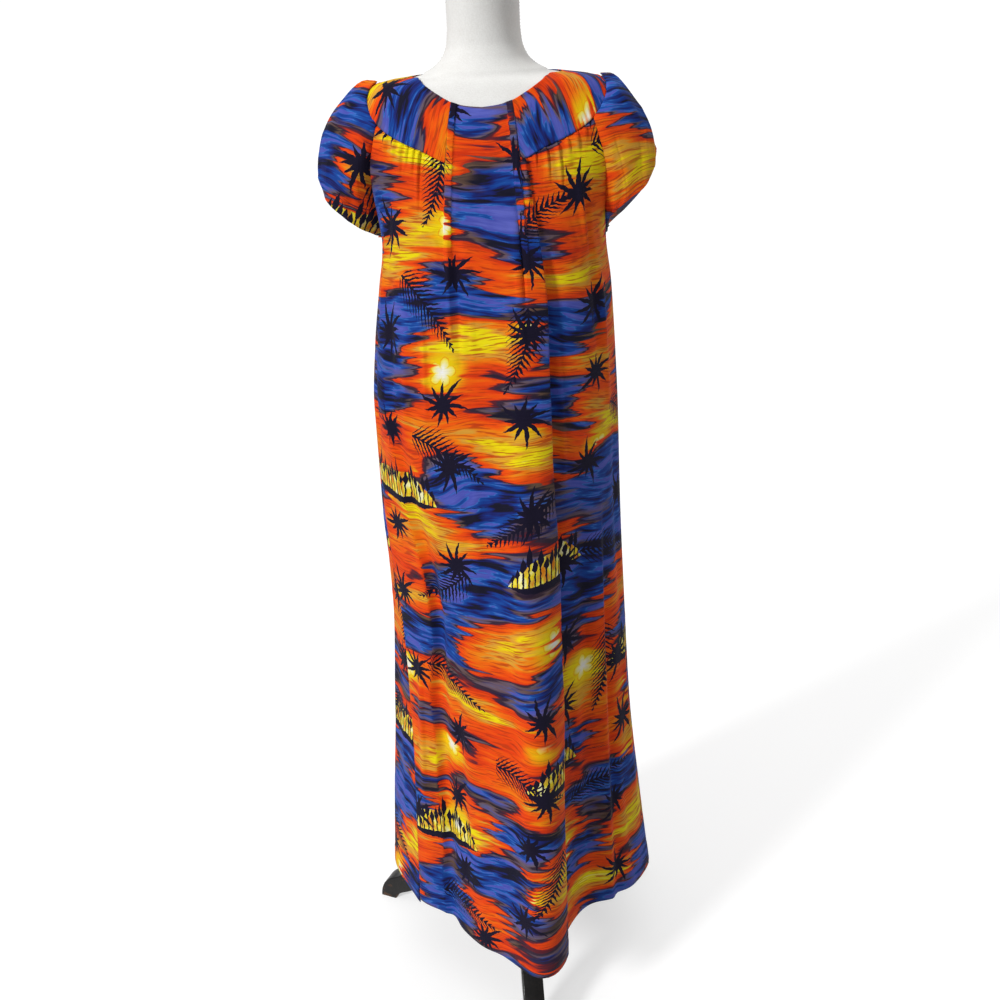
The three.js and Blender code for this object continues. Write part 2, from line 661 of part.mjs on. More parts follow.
// Turned hub that takes the three legs, with a small finial below.
function standHub() {
  const profile = [
    [0, 228], [12, 232], [17, 242], [13, 250], [hubRadius - 2, 255], [hubRadius, 258], [hubRadius, 334],
    [hubRadius - 3, 338], [20, 341], [18, hubTopHeight], [0, hubTopHeight],
  ].map(([radius, z]) => new THREE.Vector2(radius, z));
  const mesh = new THREE.Mesh(new THREE.LatheGeometry(profile, roundSteps), blackWood);
  mesh.rotation.x = Math.PI / 2;
  mesh.name = 'stand_hub';
  return mesh;
}

// A curved flat leg sawn from board: out from the hub, down inside the skirt, and out to its foot.
function standLeg(name, direction) {
  const start = hubRadius + seamGap;
  const outline = new THREE.Shape();
  outline.moveTo(start, 330);
  outline.bezierCurveTo(150, 330, 160, 92, footRadius - 16, 46);
  outline.quadraticCurveTo(footRadius + 10, 34, footRadius + 12, 0);
  outline.lineTo(footRadius - 20, 0);
  outline.quadraticCurveTo(footRadius - 24, 12, footRadius - 38, 18);
  outline.bezierCurveTo(135, 62, 120, 266, start, 264);
  outline.closePath();
  const geometry = new THREE.ExtrudeGeometry(outline, {
    depth: legThickness, bevelEnabled: false, curveSegments: 8, steps: 1,
  });
  geometry.translate(0, 0, -legThickness / 2);
  geometry.rotateX(Math.PI / 2);
  const mesh = new THREE.Mesh(geometry, blackWood);
  mesh.rotation.z = radians(direction);
  mesh.name = name;
  return mesh;
}

const group = new THREE.Group();
group.add(frontBody(), backBody());
group.add(clothWallMesh('yoke_left', yokeGrid(), () => true, yokeCotton));
group.add(clothWallMesh('yoke_right', mirroredGrid(yokeGrid()), () => true, yokeCotton, true));
group.add(...sleevePetals('left', false), ...sleevePetals('right', true));
group.add(dressForm(), standPole(), standHub());
group.add(standLeg('stand_leg_front', -81), standLeg('stand_leg_left', 41), standLeg('stand_leg_right', 161));

// The part's origin is the middle of its box, at the floor.
group.updateMatrixWorld(true);
const box = new THREE.Box3().setFromObject(group);
group.position.set(-(box.min.x + box.max.x) / 2, -(box.min.y + box.max.y) / 2, -box.min.z);

export default group;
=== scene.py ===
"""Looks of a full-length hawaiian dress on its limbless dress form and tripod stand.

Shapes are worked out in millimetres from the stand's axis, +Z up, the front towards -Y and the
wearer's left towards +X, and go into the meshes in metres. A place on the dress is an angle in
degrees round that axis (0 = left side, -90 = front, 90 = back) and a height.
"""

import bpy
import numpy as np
from mathutils import Matrix, Vector


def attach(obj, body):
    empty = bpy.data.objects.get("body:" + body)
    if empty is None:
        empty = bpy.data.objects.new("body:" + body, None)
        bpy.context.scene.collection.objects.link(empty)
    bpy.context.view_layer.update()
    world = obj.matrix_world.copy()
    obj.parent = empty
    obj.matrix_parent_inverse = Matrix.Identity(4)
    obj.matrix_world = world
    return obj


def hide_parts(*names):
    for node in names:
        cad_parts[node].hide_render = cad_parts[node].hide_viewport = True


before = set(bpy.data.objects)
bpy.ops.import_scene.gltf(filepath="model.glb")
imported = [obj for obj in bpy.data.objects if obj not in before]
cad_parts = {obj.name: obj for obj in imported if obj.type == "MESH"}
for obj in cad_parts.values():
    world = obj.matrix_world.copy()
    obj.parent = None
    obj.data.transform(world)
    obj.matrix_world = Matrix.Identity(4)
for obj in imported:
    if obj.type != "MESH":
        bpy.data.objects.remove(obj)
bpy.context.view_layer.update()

# Front of the dress
# Light cotton, cut with the centre panel and the skirt in one length. Small gathers under the
# yokes give the bust its room, and a tuck strip stitched down each side of the panel is let go
# above the waist, where the folds of the skirt start.
STAND_AXIS = np.array([21.03, 42.50, 0.0])
CLOTH_MIDDLE = 0.75
CLOTH_THICKNESS = 0.0010
UNDERARM = 1257.0
YOKE_CORNER = 1422.0
SEAM_GAP = 0.3
PANEL_HALF_ANGLE = 24.42
GATHERS_START = 28.0
HEM_AT_SIDES = 156.0
HEM_DEPTH = 28.0
MM_PER_DEGREE = 2.9
MM_PER_DEGREE = 2.9
# heights, and how far in the relief may go there before the cloth meets the form
CLEAR_OF_FORM = ((1190, 1257, 1325, 1340), (-12, -2.4, -2.4, -0.9))

# height, half-width left and right, depth front and back, squareness front and back
dress_rings = np.array([
    [100, 234, 228, 205, 186, 1.5, 2], [305, 211, 214, 196, 170, 1.55, 2],
    [497, 193, 198, 186, 156, 1.6, 2], [677, 185, 187, 171, 143, 1.7, 2],
    [845, 179, 193, 159, 133, 1.8, 2.05], [1000, 176, 193, 149, 124, 1.9, 2.1],
    [1100, 172, 184, 142, 113, 2, 2.15], [1190, 167, 170, 136, 107, 2.15, 2.2],
    [1257, 160, 160, 131, 103, 2.25, 2.25], [1290, 163, 163, 127, 102, 2.3, 2.3],
    [1330, 172, 172, 120, 101, 2.35, 2.35], [1374, 181, 181, 112, 98, 2.4, 2.4],
    [1415, 184, 184, 102, 93, 2.35, 2.35], [1436, 181, 181, 95, 88, 2.3, 2.3],
    [1455, 171, 171, 88, 84, 2.2, 2.2], [1469, 154, 154, 82, 79, 2.15, 2.1],
    [1475, 130, 130, 78, 75, 2.1, 2.1], [1478, 104, 104, 75, 72, 2.1, 2.1]])

# start height, full height, angle at the start and at the hem, half-angle, depth at the hem
skirt_folds = [
    (1330, 110, -72, -77, 12, 78), (1000, 150, -46, -42, 22, -30), (1040, 700, -160, -128, 12, -15),
    (700, 200, -104, -100, 9, 10), (620, 380, -142, -141, 8, 8), (900, 450, -24, -22, 10, 9),
    (1120, 150, 40, 46, 15, 17), (1000, 150, 80, 84, 14, 14), (1150, 150, 128, 124, 16, 19),
    (800, 150, 158, 156, 11, 10)]

# along each edge: a height and degrees from the side, or an angle and its height
front_armhole = np.array([
    [1257, 0], [1265, -5], [1285, -10.5], [1310, -15], [1340, -18.5], [1374, -21.5], [1400, -24],
    [1422, -25]])
yoke_seam = np.array([
    [-67, 1372], [-60, 1378], [-52, 1387], [-42, 1397], [-33, 1408], [-25, 1422], [-17.7, 1439],
    [-10.9, 1454], [-4, 1466], [0, 1469]])
neckline = np.array([
    [0, 1441], [12, 1443], [24, 1448], [36, 1458.5], [48, 1470.5], [54, 1475], [64, 1477.5], [90, 1478]])
right_side_seam = np.array([
    [100, -144.5], [305, -145.5], [430, -147.5], [550, -152.5], [700, -160], [900, -171], [1100, -179],
    [1257, -180]])


def table_value(table, column, place):
    """A column of a table at each place: the cubic through its rows whose slope at a row is the
    harmonic mean of the slopes on both sides, or level where they differ in sign."""
    key, value = table[:, 0], table[:, column]
    slope = np.diff(value) / np.diff(key)
    before, after = slope[:-1], slope[1:]
    same = before * after > 0
    middle = np.where(same, 2 * before * after / np.where(same, before + after, 1), 0)
    tangent = np.concatenate([slope[:1], middle, slope[-1:]])
    inside = np.clip(place, key[0], key[-1])
    row = np.clip(np.searchsorted(key, inside) - 1, 0, len(key) - 2)
    span = key[row + 1] - key[row]
    t = (inside - key[row]) / span
    from_start = (1 + 2 * t) * value[row] + t * span * tangent[row]
    from_end = (3 - 2 * t) * value[row + 1] - (1 - t) * span * tangent[row + 1]
    return (1 - t) ** 2 * from_start + t * t * from_end


def ramp(start, end, value):
    """0 before the start, 1 after the end, and in proportion between them."""
    return np.clip((value - start) / (end - start), 0, 1)


def soft_ramp(start, end, value):
    """The ramp with level ends: 3 t squared less 2 t cubed."""
    t = ramp(start, end, value)
    return t * t * (3 - 2 * t)


def bell(off, width):
    """1 in the middle, fading on both sides as a Gaussian."""
    return np.exp(-(off / width) ** 2)


def unit(vectors):
    """The vectors made one long."""
    return vectors / np.maximum(np.linalg.norm(vectors, axis=-1, keepdims=True), 1e-9)


def ring_radius(rings, turn, height):
    """Radius at each turn of a ring with its own half-widths left and right and depths in front
    and behind: an ellipse made squarer by a power."""
    def of_two(chosen, first, second):
        return np.where(chosen, table_value(rings, first, height), table_value(rings, second, height))
    front = np.sin(turn) < 0
    side, depth = of_two(np.cos(turn) > 0, 1, 2), of_two(front, 3, 4)
    power = of_two(front, 5, 6)
    return (np.abs(np.cos(turn) / side) ** power + np.abs(np.sin(turn) / depth) ** power) ** (-1 / power)


def round_axis(radius, turn, height):
    """Places at a radius from the stand's axis, a turn round it and a height."""
    return np.stack([radius * np.cos(turn), radius * np.sin(turn), height + 0 * radius * turn], axis=-1)


def dress_surface(angle, height):
    """Inner face of the dress: its rings, plus hanging folds whose section is a Gaussian round the
    ring and whose depth grows in proportion to the drop below their start."""
    turn = np.radians(angle)
    radius = ring_radius(dress_rings, turn, height)
    for start, full, start_angle, hem_angle, half_angle, fold_depth in skirt_folds:
        grown = ramp(start, full, height)
        centre = start_angle + (hem_angle - start_angle) * grown
        radius = radius + fold_depth * grown * bell(np.mod(angle - centre + 180, 360) - 180, half_angle)
    return round_axis(radius, turn, height)


def grid_normals(points):
    """Unit normals of a grid of points: across the columns times up the rows."""
    return unit(np.cross(np.gradient(points, axis=1), np.gradient(points, axis=0)))


def crease_relief(creases, angle, height):
    """Relief in mm of creases laid one by one. Each is a line between two places, bowed sideways by
    a parabola; its section is a Gaussian that is narrower on its keen side, and it swells from
    nothing at both ends to its full depth, as the root of a half sine wave."""
    across = angle * MM_PER_DEGREE
    relief = np.zeros(np.broadcast(angle, height).shape)
    for from_angle, from_height, to_angle, to_height, width, depth, bow, keen in creases:
        run, rise = (to_angle - from_angle) * MM_PER_DEGREE, to_height - from_height
        length = np.hypot(run, rise)
        off_across, off_up = across - from_angle * MM_PER_DEGREE, height - from_height
        along = np.clip((off_across * run + off_up * rise) / length ** 2, 0, 1)
        beside = (off_up * run - off_across * rise) / length - bow * 4 * along * (1 - along)
        section = bell(beside, np.where(beside > 0, width * keen, width))
        relief += depth * section * np.sin(np.pi * along) ** 0.7
    return relief


def crumple(angle, height, seed, count, depth):
    """Relief of many short soft wrinkles, as washed cotton keeps: seeded creases 20 to 70 mm long,
    most of them near upright."""
    draw = np.random.default_rng(seed)
    start_angle = draw.uniform(np.min(angle), np.max(angle), count)
    start_height = draw.uniform(np.min(height), np.max(height), count)
    lean = draw.normal(0, 0.5, count)
    length = draw.uniform(20, 70, count)
    rows = np.column_stack([
        start_angle, start_height, start_angle + length * np.sin(lean) / MM_PER_DEGREE,
        start_height + length * np.cos(lean), draw.uniform(2.5, 6, count),
        depth * draw.uniform(0.4, 1, count) * draw.choice([-1, 1], count),
        draw.uniform(-4, 4, count), draw.uniform(0.5, 1, count)])
    return crease_relief(rows, angle, height)


def lengths_along(points, axis):
    """How far each point lies from the first, along its row or column."""
    steps = np.linalg.norm(np.diff(points, axis=axis), axis=-1)
    return np.insert(np.cumsum(steps, axis=axis), 0, 0, axis=axis)


def cloth_lengths(points):
    """How far each point is along the cloth, in mm: across its row from the middle column, and up
    its column from the first row."""
    across = lengths_along(points, 1)
    return across - across[:, across.shape[1] // 2, None], lengths_along(points, 0)


def new_object(name, data):
    """An object in the scene that carries this data."""
    made = bpy.data.objects.new(name, data)
    bpy.context.scene.collection.objects.link(made)
    return made


def mesh_object(name, places, faces):
    """An object of faces between places, in metres in the shared frame."""
    mesh = bpy.data.meshes.new(name)
    mesh.from_pydata(places, [], faces)
    mesh.update()
    return new_object(name, mesh)


def grid_piece(name, points, bolt_place=None, kept=None, closed_round=False):
    """A piece of four-sided faces between neighbouring points of a grid. kept says which cells
    exist, and bolt_place is the UV map in metres. closed_round joins the last column to the first
    and closes the first and last rows to their middle points."""
    rows, columns = points.shape[:2]
    number = np.arange(rows * columns).reshape(rows, columns)
    if closed_round:
        number = np.concatenate([number, number[:, :1]], axis=1)
    cells = np.stack([number[:-1, :-1], number[:-1, 1:], number[1:, 1:], number[1:, :-1]], axis=-1)
    faces = cells.reshape(-1, 4) if kept is None else cells[kept]
    used, faces = np.unique(faces, return_inverse=True)
    faces = faces.reshape(-1, 4).tolist()
    places = (points.reshape(-1, 3)[used] + STAND_AXIS) / 1000
    for ring in (number[0, ::-1], number[-1]) if closed_round else ():
        middle = np.full(columns, len(places))
        faces += np.column_stack([ring[:-1], ring[1:], middle]).tolist()
        places = np.vstack([places, places[ring[:-1]].mean(axis=0)])
    piece = mesh_object(name, places, faces)
    if bolt_place is not None:
        corner = np.empty(len(piece.data.loops), dtype=np.int32)
        piece.data.loops.foreach_get("vertex_index", corner)
        flat = bolt_place.reshape(-1, 2)[used][corner]
        piece.data.uv_layers.new(name="bolt").data.foreach_set("uv", flat.ravel())
    piece.data.shade_smooth()
    return piece


def finish_piece(piece, materials, node=None):
    """Coats the piece, rides it on the body and lets it stand for its solid."""
    for material in materials:
        piece.data.materials.append(material)
    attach(piece, "root")
    if node:
        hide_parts(node)
    return piece


def dye(code):
    """Linear colour of a dye written as it looks on a screen."""
    channel = np.array([int(code[i:i + 2], 16) for i in (1, 3, 5)]) / 255
    linear = np.where(channel <= 0.04045, channel / 12.92, ((channel + 0.055) / 1.055) ** 2.4)
    return (*linear.tolist(), 1.0)


def add_node(tree, kind, inputs=(), **settings):
    """A new node with its settings, and its inputs set to values or joined to signals."""
    made = tree.nodes.new("ShaderNode" + kind)
    for name, value in settings.items():
        setattr(made, name, value)
    for name, value in dict(inputs).items():
        if isinstance(value, Signal):
            tree.links.new(value.socket, made.inputs[name])
        else:
            made.inputs[name].default_value = value
    return made


def by_node(operation, swapped=False):
    """A method of Signal that adds one Math node; swapped puts the signal itself last."""
    def method(self, *others):
        values = (*others, self) if swapped else (self, *others)
        return outputs("Math", dict(enumerate(values)), operation=operation)[0]
    return method


class Signal:
    """A value that changes over the surface: a node's output, worked with as a number is."""

    def __init__(self, socket):
        self.socket = socket

    __add__ = __radd__ = by_node("ADD")
    __sub__, __rsub__ = by_node("SUBTRACT"), by_node("SUBTRACT", swapped=True)
    __mul__ = __rmul__ = by_node("MULTIPLY")
    __truediv__, __mod__, __pow__ = by_node("DIVIDE"), by_node("FLOORED_MODULO"), by_node("POWER")
    __lt__, __gt__, __abs__ = by_node("LESS_THAN"), by_node("GREATER_THAN"), by_node("ABSOLUTE")
    sine, cosine, arctan2 = by_node("SINE"), by_node("COSINE"), by_node("ARCTAN2")
    floor, fract, root = by_node("FLOOR"), by_node("FRACT"), by_node("SQRT")
    at_least, times_plus = by_node("MAXIMUM"), by_node("MULTIPLY_ADD")


def outputs(kind, inputs, **settings):
    """The outputs, by name and by number, of a new node in the tree that its inputs belong to."""
    tree = next(value.socket.id_data for value in inputs.values() if isinstance(value, Signal))
    made = add_node(tree, kind, inputs, **settings).outputs
    return {key: Signal(socket) for index, socket in enumerate(made) for key in (index, socket.name)}


def new_group(name, inputs):
    """An empty shader node group and its inputs: each a number's start value, or None for a place."""
    group = bpy.data.node_groups.new(name, "ShaderNodeTree")
    for label, value in inputs.items():
        kind = "NodeSocketVector" if value is None else "NodeSocketFloat"
        socket = group.interface.new_socket(label, in_out="INPUT", socket_type=kind)
        if value is not None:
            socket.default_value = value
    given = group.nodes.new("NodeGroupInput").outputs
    return group, [Signal(given[label]) for label in inputs]


def hand_out(group, **results):
    """The group's named outputs, joined to their signals."""
    for label in results:
        kind = "NodeSocketColor" if label == "Color" else "NodeSocketFloat"
        group.interface.new_socket(label, in_out="OUTPUT", socket_type=kind)
    end = group.nodes.new("NodeGroupOutput")
    for label, signal in results.items():
        group.links.new(signal.socket, end.inputs[label])


def colour_steps(place, steps):
    """The colour of a Color Ramp at a place, its steps given as (place, dye)."""
    colour = outputs("ValToRGB", {"Fac": place})["Color"]
    band = colour.socket.node.color_ramp
    for index, (at, code) in enumerate(steps):
        element = band.elements[index] if index < 2 else band.elements.new(at)
        element.position, element.color = at, dye(code)
    return colour


def noise(place, scale, detail, roughness=0.5):
    """Soft noise from 0 to 1."""
    return outputs("TexNoise", {
        "Vector": place, "Scale": scale, "Detail": detail, "Roughness": roughness})["Fac"]


def stretched_noise(across, up, wide, tall, detail, seed):
    """Noise from 0 to 1 whose blots are wide and tall, in metres."""
    place = outputs("CombineXYZ", {"X": across / wide, "Y": up / tall, "Z": seed})[0]
    return noise(place, 1.0, detail, 0.55)


def mix_colour(share, first, second, blend="MIX"):
    """The first colour going over to the second as the share goes from 0 to 1."""
    return outputs("Mix", {0: share, 6: first, 7: second}, data_type="RGBA", blend_type=blend)[2]


def between(value, low, high):
    """0 below low, 1 above high, smooth between them."""
    return outputs("MapRange", {0: value, 1: low, 2: high}, interpolation_type="SMOOTHSTEP")[0]


def carried(value, low, high, at_low, at_high):
    """A value between low and high carried over to the range from at_low to at_high."""
    return outputs("MapRange", {0: value, 1: low, 2: high, 3: at_low, 4: at_high})[0]


def axes(place):
    """The three numbers of a place."""
    parts = outputs("SeparateXYZ", {0: place})
    return parts[0], parts[1], parts[2]


def vector(operation, first, second):
    """The output of a Vector Math node."""
    return outputs("VectorMath", {0: first, 1: second}, operation=operation)[0]


# The wash behind the motifs: hot patches on a cold ground. The brush combs their ends out sideways,
# and their long edges run smooth under a broken dark outline with a taupe halo.
wash, (place,) = new_group("brushed_wash", {"Place": None})
across, up, _ = axes(place)
comb = stretched_noise(across, up, 0.16, 0.0105, 1.0, 3.3) - 0.5
hair = stretched_noise(across, up, 0.09, 0.0034, 1.0, 6.4) - 0.5
combed = across + comb * 0.15 + hair * 0.035
drift = stretched_noise(across, up, 0.15, 0.10, 1.0, 3.1) - 0.5
up_drifted = up + drift * 0.10
sway = (combed * 17.0).sine()
bands = (up_drifted * 46.0 + sway * 0.9).sine()
lean = (up * 13.0).sine()
breaks = (combed * 23.0 + lean * 2.6).sine()
blots = stretched_noise(combed, up_drifted, 0.15, 0.070, 1.0, 7.7) - 0.5
heat = bands * 0.105 + breaks * 0.095 + 0.515 + blots * 0.80
up_brushed = up + drift * 0.055
stroke = stretched_noise(across, up_brushed, 0.055, 0.0065, 2.0, 1.3) - 0.5
fine_stroke = stretched_noise(across, up_brushed, 0.034, 0.0026, 1.5, 5.9)
hot = colour_steps(heat + stroke * 0.20, [
    (0.500, "#dc3606"), (0.530, "#f44606"), (0.585, "#fd5802"), (0.640, "#fe7404"), (0.672, "#fb8e10"),
    (0.700, "#e2a33a"), (0.735, "#f2ae28"), (0.770, "#fbe200"), (0.850, "#ffee10"), (0.930, "#fff9a0")])
hot = mix_colour(between(fine_stroke, 0.53, 0.62) * 0.72, hot, dye("#bc380c"))
tide = stretched_noise(across, up_brushed, 0.085, 0.026, 1.5, 9.4)
cold = colour_steps(stroke * 0.75 + fine_stroke * 0.16 + tide, [
    (0.0, "#0f0e23"), (0.430, "#141329"), (0.455, "#191b5c"), (0.515, "#182c7d"), (0.540, "#113c94"),
    (0.620, "#184fa7"), (0.640, "#3977cd"), (0.665, "#4a53b6"), (0.780, "#5861c1"), (0.90, "#646ccb")])
halo = between(heat, 0.425, 0.480) * between(stroke, -0.18, 0.00)
outline = (1 - between(abs(heat - 0.497), 0.010, 0.020)) * between(tide, 0.28, 0.40)
cold = mix_colour(halo * 0.85, cold, dye("#735845"))
washed = mix_colour(between(heat, 0.497, 0.503), cold, hot)
hand_out(wash, Color=mix_colour(outline * 0.88, washed, dye("#2c1a30")), Heat=heat)

# Where the motifs go: a half-drop lattice, each motif moved and turned by chance in its cell.
scatter, (place, wide, tall, seed, shown, turned) = new_group("half_drop_scatter", {
    "Place": None, "Cell Width": 0.15, "Cell Height": 0.15, "Seed": 0.0, "Shown": 0.6, "Turned": 1.5})
across, up, _ = axes(place)
column = (across / wide).floor()
dropped = column % 2.0 * 0.5 * tall + up
row = (dropped / tall).floor()
cell = outputs("CombineXYZ", {"X": column, "Y": row, "Z": seed})[0]
chance = outputs("TexWhiteNoise", {"Vector": cell})
draws = outputs("SeparateColor", {0: chance["Color"]})
off_across = across - ((draws[0] - 0.5) * 0.4 + (column + 0.5)) * wide
off_up = dropped - ((draws[1] - 0.5) * 0.4 + (row + 0.5)) * tall
turn = (draws[2] - 0.5) * turned
cosine, sine = turn.cosine(), turn.sine()
hand_out(scatter, X=off_across * cosine + off_up * sine, Y=off_up * cosine - off_across * sine,
         Chance=chance["Value"], Here=draws[2] < shown)

# A fern frond: leaflets slant back from a curved stem and shorten towards the tip.
frond, (x, y, length, spread, leaflets, bend) = new_group("fern_frond", {
    "X": 0.0, "Y": 0.0, "Length": 0.12, "Spread": 0.026, "Leaflets": 13.0, "Bend": 2.0})
share = x / length
beside = abs(x * x * bend + y)
hump = (share * (1 - share) * 4).at_least(0) ** 0.55
reach = spread * (hump * (1.25 - share))
leaf_share = beside / reach.at_least(0.0001)
leaf_count = (x - beside * 0.95) / length * leaflets
off_leaf = abs((leaf_count + 50).fract() - 0.5)
leaf = off_leaf < (1 - leaf_share).at_least(0) ** 0.75 * 0.36
stem = beside < share * -0.0009 + 0.0014
hand_out(frond, Mask=(share > 0) * (share < 1) * leaf.at_least(stem))

# The whole print: wash, reed beds over pale water, blossoms, fern fronds and agave rosettes.
island_print, (place,) = new_group("island_print", {"Place": None})
wobble = outputs("TexNoise", {"Vector": place, "Scale": 140.0, "Detail": 1.0})["Color"]
wobble = vector("SUBTRACT", wobble, (0.5, 0.5, 0.5))
drawn = vector("ADD", place, vector("MULTIPLY", wobble, (0.0045, 0.0045, 0.0045)))
ground = outputs("Group", {"Place": place}, node_tree=wash)
colour, heat = ground["Color"], ground["Heat"]


def scattered(width, height, seed, shown, turned):
    """Outputs of the scatter group for one kind of motif."""
    return outputs("Group", {
        "Place": drawn, "Cell Width": width, "Cell Height": height, "Seed": seed, "Shown": shown,
        "Turned": turned}, node_tree=scatter)


def polar(motif):
    """A motif's places as a radius and an angle."""
    x, y = motif["X"], motif["Y"]
    return (x * x + y * y).root(), y.arctan2(x)


def draw_at(number):
    """A number from 0 to 1 drawn by chance for each whole number."""
    return outputs("TexWhiteNoise", {"W": number}, noise_dimensions="1D")["Value"]


# reed beds: upright stems of uneven height from a dark bank, with pale yellow water behind
reeds = scattered(0.290, 0.300, 4.0, 0.66, 0.0)
x, y = reeds["X"], reeds["Y"]
bed = (1 - abs(x / 0.088) ** 3.5).at_least(0)
water = (y > 0) * (y < bed * 0.040) * reeds["Here"]
colour = mix_colour(water, colour, colour_steps(stretched_noise(x, y, 0.012, 0.030, 2.0, 2.2), [
    (0.36, "#f08a10"), (0.44, "#e9b640"), (0.50, "#fbe11c"), (0.56, "#fff36a"), (0.64, "#fffbc8")]))
stems = x * 118 + 50
stem_top = (draw_at(stems.floor()) * 0.040 + 0.034) * bed.root()
stem_share = y / stem_top.at_least(0.001)
# each stem carries a long leafy head above half its height
head = between(stem_share, 0.45, 0.62)
stem_half = (head * 0.36 + 0.15) * between(1 - stem_share, 0.0, 0.35)
reed = (abs(stems.fract() - 0.5) < stem_half) * (stem_share > 0)
bank = (y < 0.0005) * (y > bed * -0.011)
reed = reed.at_least(bank) * reeds["Here"]

# blossoms: five round petals, pale yellow with a white heart, only on the hot patches
bloom = scattered(0.150, 0.160, 9.0, 0.80, 6.2)
radius, around = polar(bloom)
bloom_share = radius / (abs((around * 2.5).cosine()) ** 0.5 * 0.013 + 0.008)
on_hot = bloom["Here"] * between(heat, 0.56, 0.60)
glow = (1 - between(radius, 0.012, 0.045)) * on_hot
colour = mix_colour(glow * 0.9, colour, dye("#ffe400"))
colour = mix_colour((bloom_share < 1) * on_hot, colour, colour_steps(bloom_share, [
    (0.0, "#ffffff"), (0.35, "#fffbe0"), (0.62, "#fff59a"), (0.90, "#ffe92e"), (0.97, "#f59a0c")]))

# long single fern fronds
fern = scattered(0.180, 0.200, 21.0, 0.66, 5.4)
fern_mask = fern["Here"] * outputs("Group", {
    "X": fern["X"] + 0.065, "Y": fern["Y"], "Length": 0.130, "Spread": 0.034, "Leaflets": 17.0,
    "Bend": 2.2}, node_tree=frond)["Mask"]

# agave rosettes: eleven pointed blades of uneven length, widest at a third of their reach
rosette = scattered(0.125, 0.135, 33.0, 0.78, 6.2)
radius, around = polar(rosette)
SECTOR = 2 * np.pi / 11
turn = radius * 6.0 + (around + 7.0)
blade_draw = draw_at(rosette["Chance"].times_plus(97.0, (turn / SECTOR).floor()))
blade_share = radius / (blade_draw * 0.022 + 0.024)
blade_beside = radius * abs(turn % SECTOR - SECTOR / 2)
blade_half = blade_share.root() * (1 - blade_share) * 0.0085
rosette_mask = (blade_beside < blade_half) * rosette["Here"]
dark = fern_mask.at_least(rosette_mask).at_least(reed)
hand_out(island_print, Color=mix_colour(dark, colour, dye("#120c26")))

# Plain weave: warp and weft threads as crossed sine waves, with slubs along the weft.
weave, (place, threads) = new_group("plain_weave", {"Place": None, "Threads": 2400.0})
across, up, _ = axes(place)
warp, weft = (across * threads * np.pi).sine(), (up * threads * np.pi).sine()
slub = stretched_noise(across, up, 0.016, 0.0009, 2.0, 0.4)
hand_out(weave, Height=slub * 0.8 + abs(warp * weft), Slub=slub)


def new_material(name, map_name=None):
    """An empty material, and the places its pattern lies on: a UV map or the object's own."""
    material = bpy.data.materials.new(name)
    material.use_nodes = True
    tree = material.node_tree
    tree.nodes.clear()
    if map_name:
        return material, Signal(add_node(tree, "UVMap", uv_map=map_name).outputs[0])
    return material, Signal(add_node(tree, "TexCoord").outputs["Object"])


def bumped(height, strength, distance):
    """The normal of a fine relief."""
    return outputs("Bump", {"Height": height, "Strength": strength, "Distance": distance})[0]


def surface(inputs):
    """Makes a Principled shader with these inputs the surface of their material."""
    outputs("OutputMaterial", {0: outputs("BsdfPrincipled", inputs)[0]})


def cotton(name, reverse=0.0):
    """Printed cotton. The print and the weave lie on the bolt map; the reverse side shows the same
    print through the cloth, paler."""
    material, bolt = new_material(name, "bolt")
    colour = outputs("Group", {"Place": bolt}, node_tree=island_print)["Color"]
    threads = outputs("Group", {"Place": bolt, "Threads": 2400.0}, node_tree=weave)
    if reverse:
        colour = mix_colour(reverse, colour, dye("#efe6d6"))
    slub = threads["Slub"]
    surface({"Base Color": mix_colour(1.0, colour, carried(slub, 0.3, 0.7, 0.73, 0.84), "MULTIPLY"),
             "Roughness": carried(slub, 0.2, 0.8, 0.90, 0.74),
             "Normal": bumped(threads["Height"], 0.35, 0.0002),
             "Sheen Weight": 0.02, "Sheen Roughness": 0.5, "Specular IOR Level": 0.12})
    return material


printed_cotton = cotton("printed_cotton")
cotton_reverse = cotton("printed_cotton_reverse", reverse=0.22)


def cloth_piece(name, points, bolt_place, node, kept=None):
    """A piece of the dress: the grid at the middle of the cloth, made a thin shell with the print's
    reverse on its inner side. It rides on the body and stands for its solid."""
    piece = grid_piece(name, points, bolt_place, kept)
    shell = piece.modifiers.new("shell", "SOLIDIFY")
    shell.thickness, shell.offset = CLOTH_THICKNESS, 0.0
    shell.material_offset = 1
    shell.use_rim = True
    return finish_piece(piece, [printed_cotton, cotton_reverse], node)


def raised(face, relief):
    """The middle of the cloth over its inner face, moved out by its relief."""
    return face + grid_normals(face) * (CLOTH_MIDDLE + relief)[..., None]


def seam_angle(radius):
    """How far a piece's edge stays from its seam line, as degrees of a ring of that radius."""
    return np.degrees(0.02 / radius)


def finished(angle, height, relief):
    """The relief faded out towards both side seams, with a narrow groove drawn in along them and
    the hem added, and kept clear of the form."""
    right_seam = table_value(right_side_seam, 1, height)
    to_right = np.minimum(np.abs(angle - right_seam), np.abs(angle - 360 - right_seam))
    to_seam = np.where(height < UNDERARM, np.minimum(np.abs(angle), to_right), 90) * MM_PER_DEGREE
    relief = relief * soft_ramp(0, 22, to_seam) - 0.55 * bell(to_seam, 1.6) + hem_relief(angle, height)
    return np.maximum(relief, np.interp(height, *CLEAR_OF_FORM))


def hem_height(angle):
    """The hem hangs 21 mm lower in front and 5 mm lower behind than at the sides."""
    sine = np.sin(np.radians(angle))
    return HEM_AT_SIDES - np.where(sine < 0, 21, 5) * sine ** 2


